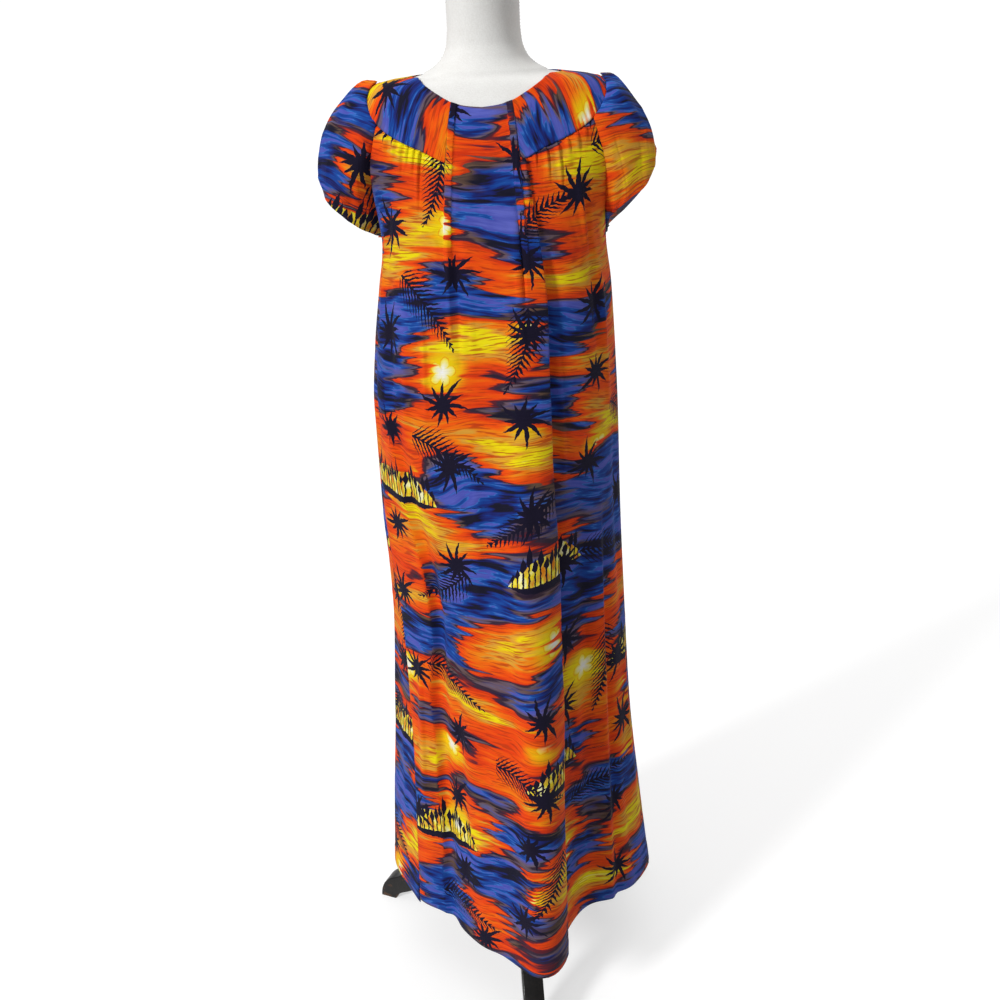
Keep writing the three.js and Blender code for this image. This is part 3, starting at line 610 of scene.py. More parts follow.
def hem_relief(angle, height):
    """The turned-up hem, 28 mm deep: a slight step where its upper edge shows through, and a
    dimple at every blind stitch."""
    above = height - hem_height(angle)
    step = 0.5 * (1 - soft_ramp(HEM_DEPTH - 2, HEM_DEPTH + 2, above))
    return step - 0.35 * bell(above - HEM_DEPTH, 2.0) * np.sin(angle * 5.5) ** 6


def neck_height(angle):
    """Height of the neckline, the same on both sides of the front."""
    return table_value(neckline, 1, np.abs(angle + 90))


def yoke_seam_height(angle):
    """Height of the yoke's outer seam, the same on both sides of the front."""
    return table_value(yoke_seam, 1, np.maximum(np.where(angle < -90, -180 - angle, angle), -67))


def front_angle(reference, share):
    """Angle of a front column at a share of the way from the underarm to the yoke's corner: fixed
    in the middle, drawn in to the armhole at the sides."""
    from_centre = np.abs(reference + 90)
    edge_height = UNDERARM + (YOKE_CORNER - UNDERARM) * share
    edge = 90 + table_value(front_armhole, 1, edge_height) - seam_angle(160)
    drawn = GATHERS_START + (from_centre - GATHERS_START) * (edge - GATHERS_START) / (90 - GATHERS_START)
    return -90 + np.sign(reference + 90) * np.where(from_centre <= GATHERS_START, from_centre, drawn)


# The strip of each tuck, and the gathers under each yoke: angle at the seam, length down, width
# between ridge and hollow, and depth, none of them even.
TUCK_START, TUCK_END = 20.1, 23.9
TUCK_HEIGHT = 1.8
GATHER_MM_PER_DEGREE = 2.6
gathers = [
    (-152.5, 24, 2.6, 2), (-147.5, 38, 3, 2.6), (-143, 34, 2.6, 2.6), (-138.9, 50, 2.8, 3),
    (-135.9, 34, 2.6, 2.2), (-132.4, 40, 2.6, 2.4), (-128.8, 92, 3, 3.4), (-121.5, 26, 2.4, 1.6),
    (-61.5, 92, 3, 3.2), (-55.8, 34, 2.6, 2.4), (-49.6, 50, 2.8, 2.8), (-43.5, 76, 3, 3),
    (-38.4, 32, 2.6, 2.4), (-33.6, 40, 2.8, 2.4), (-29.4, 24, 2.4, 1.8)]

# from angle and height, to angle and height, width, depth, bow, keen side
front_creases = [
    (-69.8, 1335, -69, 1185, 2.2, -4.2, 0, 0.8), (-107.3, 1300, -106.8, 1080, 2.2, -3.6, 0, 0.8),
    (-72, 1290, -71.5, 1100, 5, 2.8, 0, 0.6), (-107.5, 1305, -107, 1125, 6.5, -4.6, 0, 0.8),
    (-104.3, 1340, -104, 1180, 2.4, -2.2, 0, 0.8), (-112.2, 1290, -111, 1120, 4.5, 2.4, 0, 0.7),
    (-99.5, 1230, -98.5, 1080, 3, 1.3, 0, 1), (-78, 1200, -77, 1010, 3, 1.3, 0, 1),
    (-75, 1190, -74.5, 1120, 2.6, -1.4, 0, 1), (-44, 1377, -33.5, 1338, 4, 2.6, 2, 0.6),
    (-36, 1352, -27.5, 1235, 5, 3.4, -3, 0.6), (-32, 1330, -24.5, 1215, 6, -2.8, -2, 0.8),
    (-30, 1260, -25, 1080, 8, -3.4, 4, 1), (-22, 1240, -17, 1010, 8, 3, 0, 0.8),
    (-146, 1345, -156, 1240, 5, -2.8, 3, 0.8), (-156, 1290, -160, 1110, 7, 3.2, 0, 0.8),
    (-150, 1230, -152, 1000, 9, -3.2, 0, 1), (-138, 1180, -141, 960, 8, 2.6, 0, 1),
    (-128, 1210, -126.5, 1000, 6, 2.2, 0, 0.6), (-141.5, 640, -138.5, 360, 5, 3.4, 0, 0.7),
    (-146.5, 500, -144, 200, 5, 2.6, 0, 0.8), (-123, 900, -121, 520, 11, 3.4, 0, 1),
    (-115, 620, -111, 200, 10, -3.6, 0, 1), (-94, 560, -92, 170, 10, 3.4, 0, 1),
    (-86, 760, -84, 380, 9, -3.2, 0, 1), (-81.5, 500, -79, 140, 7, 3.4, 0, 0.8),
    (-24, 720, -23.5, 330, 8, -3, 0, 1), (-40, 900, -38, 520, 10, -3, 0, 1),
    (-46, 620, -44, 240, 10, 3, 0, 1), (-12, 1040, -9, 640, 10, -3.4, 0, 1),
    (-9, 660, -7, 260, 9, 3.4, 0, 1), (-17, 420, -15, 150, 8, -3.2, 0, 1),
    (-164, 900, -158, 560, 9, 3, 0, 1), (-168, 1150, -166, 930, 8, -3, 0, 1),
    (-52, 1150, -50, 900, 7, 2.2, 0, 0.7), (-100, 960, -99, 700, 9, 2.2, 0, 0.8),
    (-72, 1010, -71, 700, 8, -2.2, 0, 0.9)]

# Long pleats that lie over to one side, each by height, angle and depth, from its top to the hem.
main_pleat = np.array([
    [1392, -64, 0], [1355, -62.5, 2.2], [1271, -59.8, 4.6], [1190, -58.2, 7.5], [1079, -60, 9],
    [1022, -60.8, 9.6], [934, -62.1, 10.4], [809, -61, 11], [666, -62.8, 11.4], [583, -63.3, 11.4],
    [421, -67, 10.6], [316, -67.8, 9.6], [240, -67.8, 8.4], [120, -68, 6.5]])[::-1]
left_pleat = np.array([
    [1120, -158, 0], [1034, -155.5, 5], [883, -146.7, 8.4], [776, -137.8, 9.4], [650, -134.4, 8.6],
    [567, -136.4, 9], [480, -134, 7.4], [405, -133.1, 8.6], [311, -130.4, 8], [210, -132, 6.4],
    [120, -129, 5.5]])[::-1]
outer_pleat = np.array([
    [900, -27, 0], [710, -28, 6], [532, -27.6, 7.4], [344, -28.4, 7.4], [120, -29, 5.5]])[::-1]


def pleat_place(pleat, angle, height):
    """How far a place is past a pleat's edge, in mm, and the pleat's depth there."""
    beside = (angle - table_value(pleat, 1, height)) * MM_PER_DEGREE
    return beside, table_value(pleat, 2, height) * (height < pleat[-1, 0])


def pleat_relief(pleat, angle, height, rise, edge):
    """Relief of a pleat that lies over to the left side of the body: it swells slowly up to its
    edge, falls sharply past it below the cloth's face, and comes back slowly."""
    beside, depth = pleat_place(pleat, angle, height)
    return depth * np.where(beside < 0, bell(beside, rise), 2.2 * bell(beside, edge) - 1.2 * bell(beside, 24))


def pleat_step(pleat, angle, height):
    """0 before a pleat's edge and its depth's share of 11 mm past it: there the print is broken."""
    beside, depth = pleat_place(pleat, angle, height)
    return soft_ramp(0.5, 4.5, beside) * depth / 11


def gather_relief(angle, height):
    """Relief of the gathers: a ridge beside a hollow, both Gaussian, full at the yoke seam and
    fading down the length of each."""
    seam = yoke_seam_height(angle)
    relief = np.zeros(np.broadcast(angle, height).shape)
    for at, length, width, depth in gathers:
        beside = (angle - at) * GATHER_MM_PER_DEGREE
        ridge = bell(beside + width, width) - 0.9 * bell(beside, 0.5 * width)
        fade = 1 - soft_ramp(0, 1, (seam - height) / length)
        relief += 1.5 * depth * ridge * fade * (height <= seam + 1)
    pucker = 0.25 * np.sin(angle * 2.4) * np.exp(-np.maximum(seam - height, 0) / 7)
    return relief + pucker * (np.abs(angle + 90) > PANEL_HALF_ANGLE)


def tuck_relief(angle, height):
    """The tuck strips: flat bands 1.8 mm proud with folded edges, flat again at the waist."""
    from_centre = np.abs(angle + 90)
    band = soft_ramp(TUCK_START - 0.5, TUCK_START, from_centre)
    band = band * (1 - soft_ramp(TUCK_END, TUCK_END + 0.35, from_centre))
    return TUCK_HEIGHT * band * soft_ramp(1205, 1300, height)


half_columns = np.concatenate([np.linspace(start, end, count, endpoint=False) for start, end, count in (
    (0, 19.4, 13), (19.4, PANEL_HALF_ANGLE, 12), (PANEL_HALF_ANGLE, GATHERS_START, 5),
    (GATHERS_START, 36, 14), (36, 62, 50))] + [np.linspace(62, 90, 24)])
front_columns = np.concatenate([-90 - half_columns[:0:-1], -90 + half_columns])[None, :]
skirt_share = np.linspace(0, 1, 150, endpoint=False)[:, None]
chest_share = np.linspace(0, 1, 38)[:, None]
panel_share = np.linspace(0, 1, 22)[1:, None]

# past this angle the skirt's columns are drawn over to the right side seam
DRAWN_FROM = -118
skirt_angle = front_angle(front_columns, 0.0)
hem_start = hem_height(skirt_angle)
skirt_height = hem_start + (UNDERARM - hem_start) * skirt_share
seam_at = table_value(right_side_seam, 1, skirt_height) + seam_angle(170)
drawn = DRAWN_FROM + (skirt_angle - DRAWN_FROM) * (seam_at - DRAWN_FROM) / (-180 - DRAWN_FROM)
right_half = (skirt_angle < DRAWN_FROM) & (skirt_height < UNDERARM)
skirt_angle = np.where(right_half, drawn, skirt_angle + 0 * skirt_height)
chest_top = yoke_seam_height(front_angle(front_columns, 1.0)) - SEAM_GAP / 2
chest_angle = front_angle(front_columns, chest_share)
chest_height = UNDERARM + (chest_top - UNDERARM) * chest_share
panel_height = chest_top + (neck_height(front_columns) - chest_top) * panel_share
angle = np.vstack([skirt_angle, chest_angle, front_columns + 0 * panel_height])
height = np.vstack([skirt_height, chest_height, panel_height])
in_panel = np.abs((front_columns[0, 1:] + front_columns[0, :-1]) / 2 + 90) < PANEL_HALF_ANGLE
kept_cells = np.ones((len(angle) - 1, angle.shape[1] - 1), dtype=bool)
kept_cells[len(skirt_share) + len(chest_share) - 1:] = in_panel

relief = tuck_relief(angle, height) + gather_relief(angle, height)
relief += 1.25 * crease_relief(front_creases, angle, height)
for share, pleat, rise, edge in (
        (1, main_pleat, 26, 3.6), (0.8, left_pleat, 22, 10), (1, outer_pleat, 20, 6)):
    relief += share * pleat_relief(pleat, angle, height, rise, edge)
relief += crumple(angle, height, 11, 280, 0.9)
front_face = dress_surface(angle, height)
front_points = raised(front_face, finished(angle, height, relief))
# the print swings a little on the bolt, and each tuck and pleat takes up a strip of it
across, up = cloth_lengths(front_face)
up = 1.02 * height + 9 * np.sin(np.radians(angle) * 2.3 + height / 130) + 0.05 * (up - height)
from_centre = np.abs(angle + 90)
taken = soft_ramp(19.6, 20.2, from_centre) + soft_ramp(23.8, 24.2, from_centre)
across = across + np.sign(angle + 90) * 14 * soft_ramp(1200, 1300, height) * taken
across = across + 26 * pleat_step(main_pleat, angle, height) + 16 * pleat_step(left_pleat, angle, height)
front_bolt = np.stack([across, up], axis=-1) / 1000
front_cloth = cloth_piece("front_cloth", front_points, front_bolt, "front_body", kept_cells)

# Back of the dress
# One length of the same cotton from the hem to the back of the neck, sewn to the front down both
# sides. Its right side seam swings round to the front towards the hem.
back_armhole = np.array([
    [1257, 0], [1280, 9], [1303, 15], [1326, 19.5], [1350, 23], [1374, 25], [1398, 25.5], [1420, 23.5],
    [1438, 18.5], [1454, 11], [1465, 4], [1469, 0]])
BACK_NECK = 1478.0
SHOULDER_TIP = 1469.0
BACK_ON_BOLT = (2131, 87)
back_creases = [
    (34, 1180, 40, 760, 9, 3.6, 4, 0.7), (41, 820, 46, 260, 10, 3.4, 0, 0.7),
    (52, 1120, 58, 700, 9, -3.2, -4, 1), (60, 700, 64, 220, 10, -3, 0, 1),
    (76, 1200, 80, 820, 8, 2.8, 0, 0.7), (82, 860, 86, 180, 10, 3.6, 0, 0.7),
    (96, 1150, 100, 640, 10, -3.4, 3, 1), (112, 1200, 116, 800, 8, 2.6, 0, 0.8),
    (124, 900, 124, 220, 10, 3.8, 0, 0.6), (136, 1080, 139, 540, 10, -3.4, 0, 1),
    (150, 1180, 154, 820, 8, 2.4, 0, 0.8), (157, 880, 157, 260, 9, 3, 0, 0.7),
    (170, 1060, 173, 560, 9, -2.8, 0, 1), (184, 760, 192, 300, 9, 2.8, 0, 0.7),
    (20, 1060, 18, 540, 9, -2.6, 0, 1), (8, 900, 9, 330, 9, 2.4, 0, 0.8),
    (200, 520, 206, 170, 8, 2.4, 0, 0.7), (60, 1370, 82, 1330, 6, 1.2, 3, 0.8),
    (120, 1370, 98, 1330, 6, 1.2, -3, 0.8), (26, 1330, 44, 1250, 7, 1.8, 3, 0.7),
    (154, 1330, 136, 1250, 7, 1.8, -3, 0.7)]

body_share = np.linspace(0, 1, 214, endpoint=False)[:, None]
column_share = np.linspace(0, 1, 140)[None, :]
top_height = np.linspace(UNDERARM, BACK_NECK, 52)[:, None]
first_angle = np.full_like(body_share, seam_angle(170))
body_height = HEM_AT_SIDES + (UNDERARM - HEM_AT_SIDES) * body_share
for _ in range(2):
    last_angle = 360 + table_value(right_side_seam, 1, body_height) - seam_angle(170)
    body_angle = first_angle + (last_angle - first_angle) * column_share
    body_height = hem_height(body_angle) + (UNDERARM - hem_height(body_angle)) * body_share
armhole_edge = table_value(back_armhole, 1, np.minimum(top_height, SHOULDER_TIP))
armhole_edge = armhole_edge + seam_angle(160) * np.where(top_height < SHOULDER_TIP, 1.5, 0.5)
top_angle = armhole_edge + (180 - 2 * armhole_edge) * column_share
angle = np.vstack([body_angle, top_angle])
height = np.vstack([body_height, top_height + 0 * column_share])
relief = crease_relief(back_creases, angle, height) + crumple(angle, height, 23, 280, 0.7)
back_face = dress_surface(angle, height)
across, up = cloth_lengths(back_face)
back_bolt = (np.stack([across, up], axis=-1) + BACK_ON_BOLT) / 1000
back_points = raised(back_face, finished(angle, height, relief))
back_cloth = cloth_piece("back_cloth", back_points, back_bolt, "back_body")

# Yokes
# A curved piece of the same cotton on each side of the centre panel, from the gathered seam up to
# the neckline and over the shoulder. Both are cut with the brush strokes of the print upright.
MIRROR = np.array([-1, 1, 1])
yoke_share = 1 - (1 - np.linspace(0, 1, 50)[:, None]) ** 1.3
yoke_angle = np.append(np.linspace(-65.42, -25, 84, endpoint=False), np.linspace(-25, 0, 60))[None, :]


def yoke_points(mirrored):
    """The yoke from its seam to the neckline, lifted a little where the turned-in edge is sewn over
    the gathers and at the folded neck edge, and the places on its face along the cloth."""
    bottom = yoke_seam_height(yoke_angle) + SEAM_GAP / 2
    height = bottom + (neck_height(yoke_angle) - bottom) * yoke_share
    angle = np.minimum(yoke_angle, -seam_angle(104) / 2) + 0 * height
    face = dress_surface(angle, height)
    across, up = cloth_lengths(face)
    relief = 0.7 * bell(up - 2.5, 3.0) + 0.5 * bell(up[-1:] - up - 2.0, 2.2)
    relief = relief + 0.18 * np.sin(across * 0.9) * np.exp(-up / 6)
    relief = relief + np.maximum(crumple(angle, height, 41 if mirrored else 47, 26, 0.5), -0.6)
    points = raised(face, relief)
    if mirrored:
        return points[:, ::-1] * MIRROR, -across[:, ::-1], up[:, ::-1]
    return points, across, up


for side_name, mirrored, along_bolt, across_bolt in (
        ("left", False, 6.220, 4.830), ("right", True, 4.270, 5.320)):
    points, across, up = yoke_points(mirrored)
    bolt = np.stack([along_bolt + up / 1000, across_bolt - across / 1000], axis=-1)
    yoke_cloth = cloth_piece(f"yoke_{side_name}_cloth", points, bolt, f"yoke_{side_name}")

# Petal sleeves
# Two curved petals to a sleeve, cut on the cross, the front one lapped over the back one from the
# tip of the shoulder. They puff out from a lightly gathered head to a narrow stitched hem.
FRONT_STEPS, LAST_STEP = 15, 26
LAYER_LIFT = 4.0
STITCH_LINE = 6.2
# the column of a petal's grid from which lengths round the arm are measured
ARM_LINE = slice(60, 61)
# how far each sleeve is drawn in, and its slack
sleeve_hang = {"left": (23, 1.0), "right": (10, 0.35)}
# turn round the arm, reach to the side, towards the back and up, and puff
sleeve_reach = np.array([
    [-1, 172, -1, 1259, 0], [-0.9, 185, -31, 1267, 2], [-0.78, 203, -50, 1280, 6],
    [-0.64, 225, -55, 1301, 10], [-0.5, 239, -47, 1318, 12], [-0.35, 248, -31, 1342, 15],
    [-0.2, 252, -15, 1361, 20], [0, 254, 3, 1370, 22], [0.2, 254, 20, 1360, 20], [0.35, 250, 36, 1336, 15],
    [0.5, 240, 52, 1308, 12], [0.64, 225, 58, 1283, 10], [0.78, 203, 52, 1262, 6], [0.9, 185, 32, 1255, 2],
    [1, 172, 1, 1256, 0]])
over_shoulder = np.array([-21, -17.7, -14, -10.9, -7, -4, 0.0])
front_rise = UNDERARM + (YOKE_CORNER - UNDERARM) * np.arange(9) / 8
armhole_steps = np.column_stack([
    np.arange(LAST_STEP + 1),
    np.concatenate([table_value(front_armhole, 1, front_rise), over_shoulder, back_armhole[-2::-1, 1]]),
    np.concatenate([front_rise, yoke_seam_height(over_shoulder), back_armhole[-2::-1, 0]])])


def armhole_edge_at(step):
    """The armhole seam at a step of its loop: its point, the dress's normal there and the
    direction away from the dress, which is the seam's own direction times the normal."""
    def place(at):
        at = np.clip(at, 0, LAST_STEP)
        return table_value(armhole_steps, 1, at), table_value(armhole_steps, 2, at)
    angle, height = place(step)
    along = unit(dress_surface(*place(step + 0.3)) - dress_surface(*place(step - 0.3)))
    turned = dress_surface(angle + 0.4, height) - dress_surface(angle - 0.4, height)
    level = np.minimum(height, BACK_NECK - 0.8)
    risen = dress_surface(angle, level + 0.8) - dress_surface(angle, level - 0.8)
    normal = unit(np.cross(turned, risen))
    return dress_surface(angle, height), normal, unit(np.cross(along, normal))


def sleeve_surface(step, out, drawn_in, slack):
    """A sleeve's inner face: straight lines from the armhole to the reach line, puffed out between
    them by out to the power 0.7 times what is left, with small gathers at the head. The reach line
    is drawn in all round, and its slack is taken up under the arm."""
    point, normal, away = armhole_edge_at(step)
    turn = (step - FRONT_STEPS) / np.where(step <= FRONT_STEPS, FRONT_STEPS, LAST_STEP - FRONT_STEPS)
    rise = soft_ramp(0, 0.10, out)[..., None]
    start = point + normal * 2.1 * rise + away * (0.15 + 0.75 * rise)
    reach = np.stack([table_value(sleeve_reach, axis, turn) for axis in (1, 2, 3)], axis=-1)
    under_arm = slack * bell(np.abs(turn) - 0.8, 0.35) * np.where(turn < 0, 1.2, 0.95)
    reach[..., 0] -= drawn_in * (1 - turn ** 2) + 13 * under_arm
    reach[..., 2] += 15 * under_arm
    line = reach - start
    outward = unit(np.cross(np.cross(away, normal), line))
    puff = table_value(sleeve_reach, 4, turn) * (3.1 - 1.2 * slack) * out ** 0.7 * (1 - out)
    head = ramp(0.62, 0.25, np.abs(turn)) * ramp(0, 0.08, out) * ramp(0.8, 0.12, out)
    puff = puff + 1.7 * np.cos(2 * np.pi * step / 3 + 0.8 * np.sin(1.7 * step)) * head
    return start + line * out[..., None] + outward * puff[..., None], turn


def inset_run(points, normal, to_edge, to_other_edge):
    """The line of a grid that lies a stitch line in from the edge its rows run to, as places and
    normals, without its stretch along the other edge."""
    column = np.arange(points.shape[1])
    row = np.clip(np.argmax(to_edge < STITCH_LINE, axis=0) - 1, 0, len(points) - 2)
    share = (to_edge[row, column] - STITCH_LINE) / (to_edge[row, column] - to_edge[row + 1, column])
    share = np.clip(share, 0, 1)[:, None]
    places = points[row, column] * (1 - share) + points[row + 1, column] * share
    clear = to_other_edge[row, column] > STITCH_LINE + 0.3
    return places[clear], normal[row, column][clear]


def stitches(name, runs, spacing, length, colour):
    """Thread in relief: an octahedron for each stitch, set along runs of places and normals. It is
    spun in one dye, a little lighter and darker along the run, with a soft sheen."""
    corners = []
    for places, normal in runs:
        along = lengths_along(places, 0)
        at = np.arange(spacing, along[-1] - spacing, spacing)
        middle, ahead, facing = (
            np.stack([np.interp(where, along, grid[:, axis]) for axis in range(3)], axis=1)
            for where, grid in ((at, places), (at + 0.5, places), (at, normal)))
        run = unit(ahead - middle)
        side = np.cross(run, facing)
        middle = middle + facing * 0.6
        corners.append(np.stack([
            middle - run * length / 2, middle + run * length / 2, middle - side * 0.32,
            middle + side * 0.32, middle - facing * 0.2, middle + facing * 0.32], axis=1))
    corners = (np.concatenate(corners).reshape(-1, 3) + STAND_AXIS) / 1000
    one = [[0, 2, 5], [2, 1, 5], [1, 3, 5], [3, 0, 5], [2, 0, 4], [1, 2, 4], [3, 1, 4], [0, 3, 4]]
    faces = (np.array(one) + np.arange(0, len(corners), 6)[:, None, None]).reshape(-1, 3)
    thread, place = new_material(name + "_thread")
    lighter = [channel * 1.5 + 0.01 for channel in dye(colour)[:3]] + [1.0]
    surface({"Base Color": mix_colour(noise(place, 900.0, 2.0), dye(colour), lighter), "Roughness": 0.7,
             "Sheen Weight": 0.1})
    return finish_piece(mesh_object(name, corners, faces.tolist()), [thread])


def petal(side_name, layer, mirrored):
    """One petal: its grid, rounded off at the far end of its free edge, with a hem step 7 mm in
    from its edge, its places along the cloth and the two runs of its hem's stitches."""
    in_front = layer == "front"
    out = 1 - (1 - np.linspace(0, 1, 96)[:, None]) ** 1.35
    if in_front:
        first, last = 0.04, FRONT_STEPS + 1.6 - 4.2 * out ** 0.5 - 2.0 * out ** 6
    else:
        first, last = FRONT_STEPS - 5.5 + 0.5 * out + 2.0 * out ** 8, LAST_STEP - 0.04
    step = first + (last - first) * np.linspace(0, 1, 126)[None, :]
    out = out + 0 * step
    face, turn = sleeve_surface(step, out, *sleeve_hang[side_name])
    across, up = cloth_lengths(face)
    to_hem = up[-1:] - up
    to_free_edge = across[:, -1:] - across if in_front else across - across[:, :1]
    to_edge = np.minimum(to_hem, to_free_edge)
    lift = in_front * (LAYER_LIFT * ramp(-0.42, -0.22, turn) + 1.1 * bell(to_free_edge, 9))
    hem = 0.45 * (1 - soft_ramp(6.0, 8.5, to_edge)) - 0.3 * bell(to_edge - STITCH_LINE, 1.2)
    soft = 0.9 * np.sin(across * 0.06 + up * 0.045) * np.sin(up * 0.05 + 0.7) * soft_ramp(0.1, 0.4, out)
    wrinkles = crumple(across / MM_PER_DEGREE, up, 61 + 2 * mirrored + in_front, 46, 0.7)
    normal = -grid_normals(face)
    points = face + normal * (CLOTH_MIDDLE + lift + hem + soft + wrinkles)[..., None]
    round_arm = lengths_along(face[..., 1:], 1)
    round_arm = (round_arm - round_arm[:, ARM_LINE]) * (1 if in_front else -1)
    flat = np.stack([face[..., 0], face[:, ARM_LINE, 2] + round_arm], axis=-1)
    to_side = slice(None) if in_front else slice(None, None, -1)
    sideways = (grid[:, to_side].swapaxes(0, 1) for grid in (points, normal, to_free_edge, to_hem))
    runs = [inset_run(points, normal, to_hem, to_free_edge), inset_run(*sideways)]
    if mirrored:
        return points * MIRROR, flat, [(places * MIRROR, facing * MIRROR) for places, facing in runs]
    return points[:, ::-1], flat[:, ::-1], runs


# the brush strokes rise outwards from the body by a slant, so each petal lies turned on the bolt
for side_name, mirrored, slant in (("left", False, 24), ("right", True, 28)):
    cosine, sine = np.cos(np.radians(slant)), np.sin(np.radians(slant))
    for layer, along_bolt, across_bolt, flat_cut, area in (
            ("front", 4.310, 3.120, (0.320, 0.190), 0.0205), ("back", 5.050, 1.930, (0.330, 0.190), 0.033)):
        points, flat, runs = petal(side_name, layer, mirrored)
        bolt = flat @ np.array([[cosine, -sine], [sine, cosine]]) / 1000
        bolt = bolt + (along_bolt + 1.7 * mirrored, across_bolt)
        petal_name = f"sleeve_{side_name}_{layer}"
        petal_cloth = cloth_piece(petal_name + "_cloth", points, bolt, petal_name + "_petal")
        hem_stitches = stitches(petal_name + "_stitches", runs, 3.0, 2.3, "#1b1a3a")

# Dress form
# A limbless torso padded and covered in off-white linen, with its neck cut off level and capped.
# The cover is joined down both sides of the neck by a raised seam with small hand stitches.
# height, half-width, depth in front and behind, squareness
torso_rings = np.array([
    [775, 146, 90, 96, 2.1], [783, 152, 96, 102, 2.1], [850, 152, 97, 103, 2.1], [920, 148, 98, 100, 2.1],
    [1000, 131, 95, 86, 2], [1070, 115, 89, 76, 2], [1130, 123, 99, 79, 2], [1200, 142, 121, 88, 2.1],
    [1257, 153, 127, 97, 2.2], [1300, 163, 122, 99, 2.3], [1340, 171, 115, 98, 2.35]])
neck_rings = np.array([
    [1482, 86, 72, 69, 2], [1491, 69, 67, 63, 2], [1502, 58, 62, 57, 2], [1520, 51, 57, 50, 2],
    [1545, 49, 56, 46, 2], [1580, 49, 58, 42, 2], [1598, 48, 58, 40, 2], [1605, 42, 52, 34, 2]])
NECK_LEAN = -2.5
NECK_SEAM_START = 1479.0
# how far the cover lies inside the dress on the shoulders, and where the shoulders are drawn in
SEAT_DEPTH, SHOULDER_PLATE, PLATE_DRAWN_IN = 1.5, 148, 0.65


def form_ring(rings, angle, height, lean=0.0):
    """Places on a ring of the form, leaning to one side."""
    turn = np.radians(angle)
    radius = ring_radius(rings[:, [0, 1, 1, 2, 3, 4, 4]], turn, height)
    return round_axis(radius, turn, height) + (lean, 0, 0)


form_angle = np.linspace(0, 360, 128, endpoint=False)[None, :]
low_height = np.append([775, 776.5, 779], np.linspace(783, 1340, 58))[:, None]
seat_height = np.append(np.linspace(1352, 1460, 22), [1465, 1469, 1472, 1474, 1476, 1477.6])[:, None]
neck_rise = np.append(np.linspace(1480.5, 1598, 46), [1600, 1601.8, 1603.2, 1604.2, 1604.8, 1605])[:, None]
seat_face = dress_surface(form_angle + 0 * seat_height, seat_height + 0 * form_angle)
seat_rows = seat_face - grid_normals(seat_face) * SEAT_DEPTH
past_plate = np.maximum(np.abs(seat_rows[..., 0]) - SHOULDER_PLATE, 0)
seat_rows[..., 0] -= np.sign(seat_rows[..., 0]) * past_plate * PLATE_DRAWN_IN
neck_rows = form_ring(neck_rings, form_angle, np.maximum(neck_rise, 1482), NECK_LEAN)
neck_rows[..., 2] = neck_rise
form_points = np.vstack([form_ring(torso_rings, form_angle, low_height), seat_rows, neck_rows])
seam_bump = bell(np.mod(form_angle + 90, 180) - 90, 2.2) * (form_points[..., 2] > NECK_SEAM_START)
form_points[..., 0] += 0.8 * seam_bump * np.sign(form_points[..., 0])

# off-white linen: crossed slubs of the threads as two stretched noises, and a soft mottle
linen, place = new_material("linen_cover")
warp, weft = (noise(vector("MULTIPLY", place, stretch), 1.0, 1.5)
              for stretch in ((1500, 1500, 260), (420, 420, 1900)))
cross = warp + weft
shade = noise(place, 22.0, 4.0) * 0.35 + cross * 0.35
surface({"Base Color": colour_steps(shade, [(0.32, "#d2d0cb"), (0.50, "#deddda"), (0.68, "#e8e8e5")]),
         "Roughness": carried(cross, 0.7, 1.3, 0.95, 0.8), "Normal": bumped(cross, 0.5, 0.0004),
         "Sheen Weight": 0.15, "Specular IOR Level": 0.3})
finish_piece(grid_piece("form_cover", form_points, closed_round=True), [linen], "form_torso")

neck_runs = []
for seam_side, outward in ((0, 1), (180, -1)):
    seam_places = form_ring(neck_rings, np.full(60, seam_side), np.linspace(1486, 1600, 60), NECK_LEAN)
    neck_runs.append((seam_places + (outward * 0.6, 0, 0), np.tile([outward, 0.0, 0.0], (60, 1))))
stitches("form_neck_stitches", neck_runs, 4.2, 2.6, "#8f8b84")

# Stand
# A turned pole and hub with three flat curved legs, sawn from board with eased edges and finished
# in black satin lacquer that is rubbed a little brown where the feet are knocked.
HUB_RADIUS, LEG_THICKNESS, LEG_EASING = 30.0, 34.0, 2.6
# radius and height
pole_profile = [(13, 350.3), (13, 450), (13, 560), (13, 670), (13, 774.7)]
hub_profile = [(2, 228), (8, 229), (12, 232), (15.6, 236.5), (17, 242), (16, 246.5), (13, 250), (20, 252.8),
               (28, 255), (29.4, 256.2), (30, 258), (30, 296), (30, 334), (29, 336.8), (27, 338), (20, 341),
               (18.6, 344), (18, 350)]


def bezier(controls, share):
    """Points of a Bezier curve at each share of its run: its control points drawn together in
    pairs until one is left."""
    points = np.array(controls, dtype=float)[:, None, :]
    while len(points) > 1:
        points = points[:-1] + (points[1:] - points[:-1]) * share[:, None]
    return points[0]


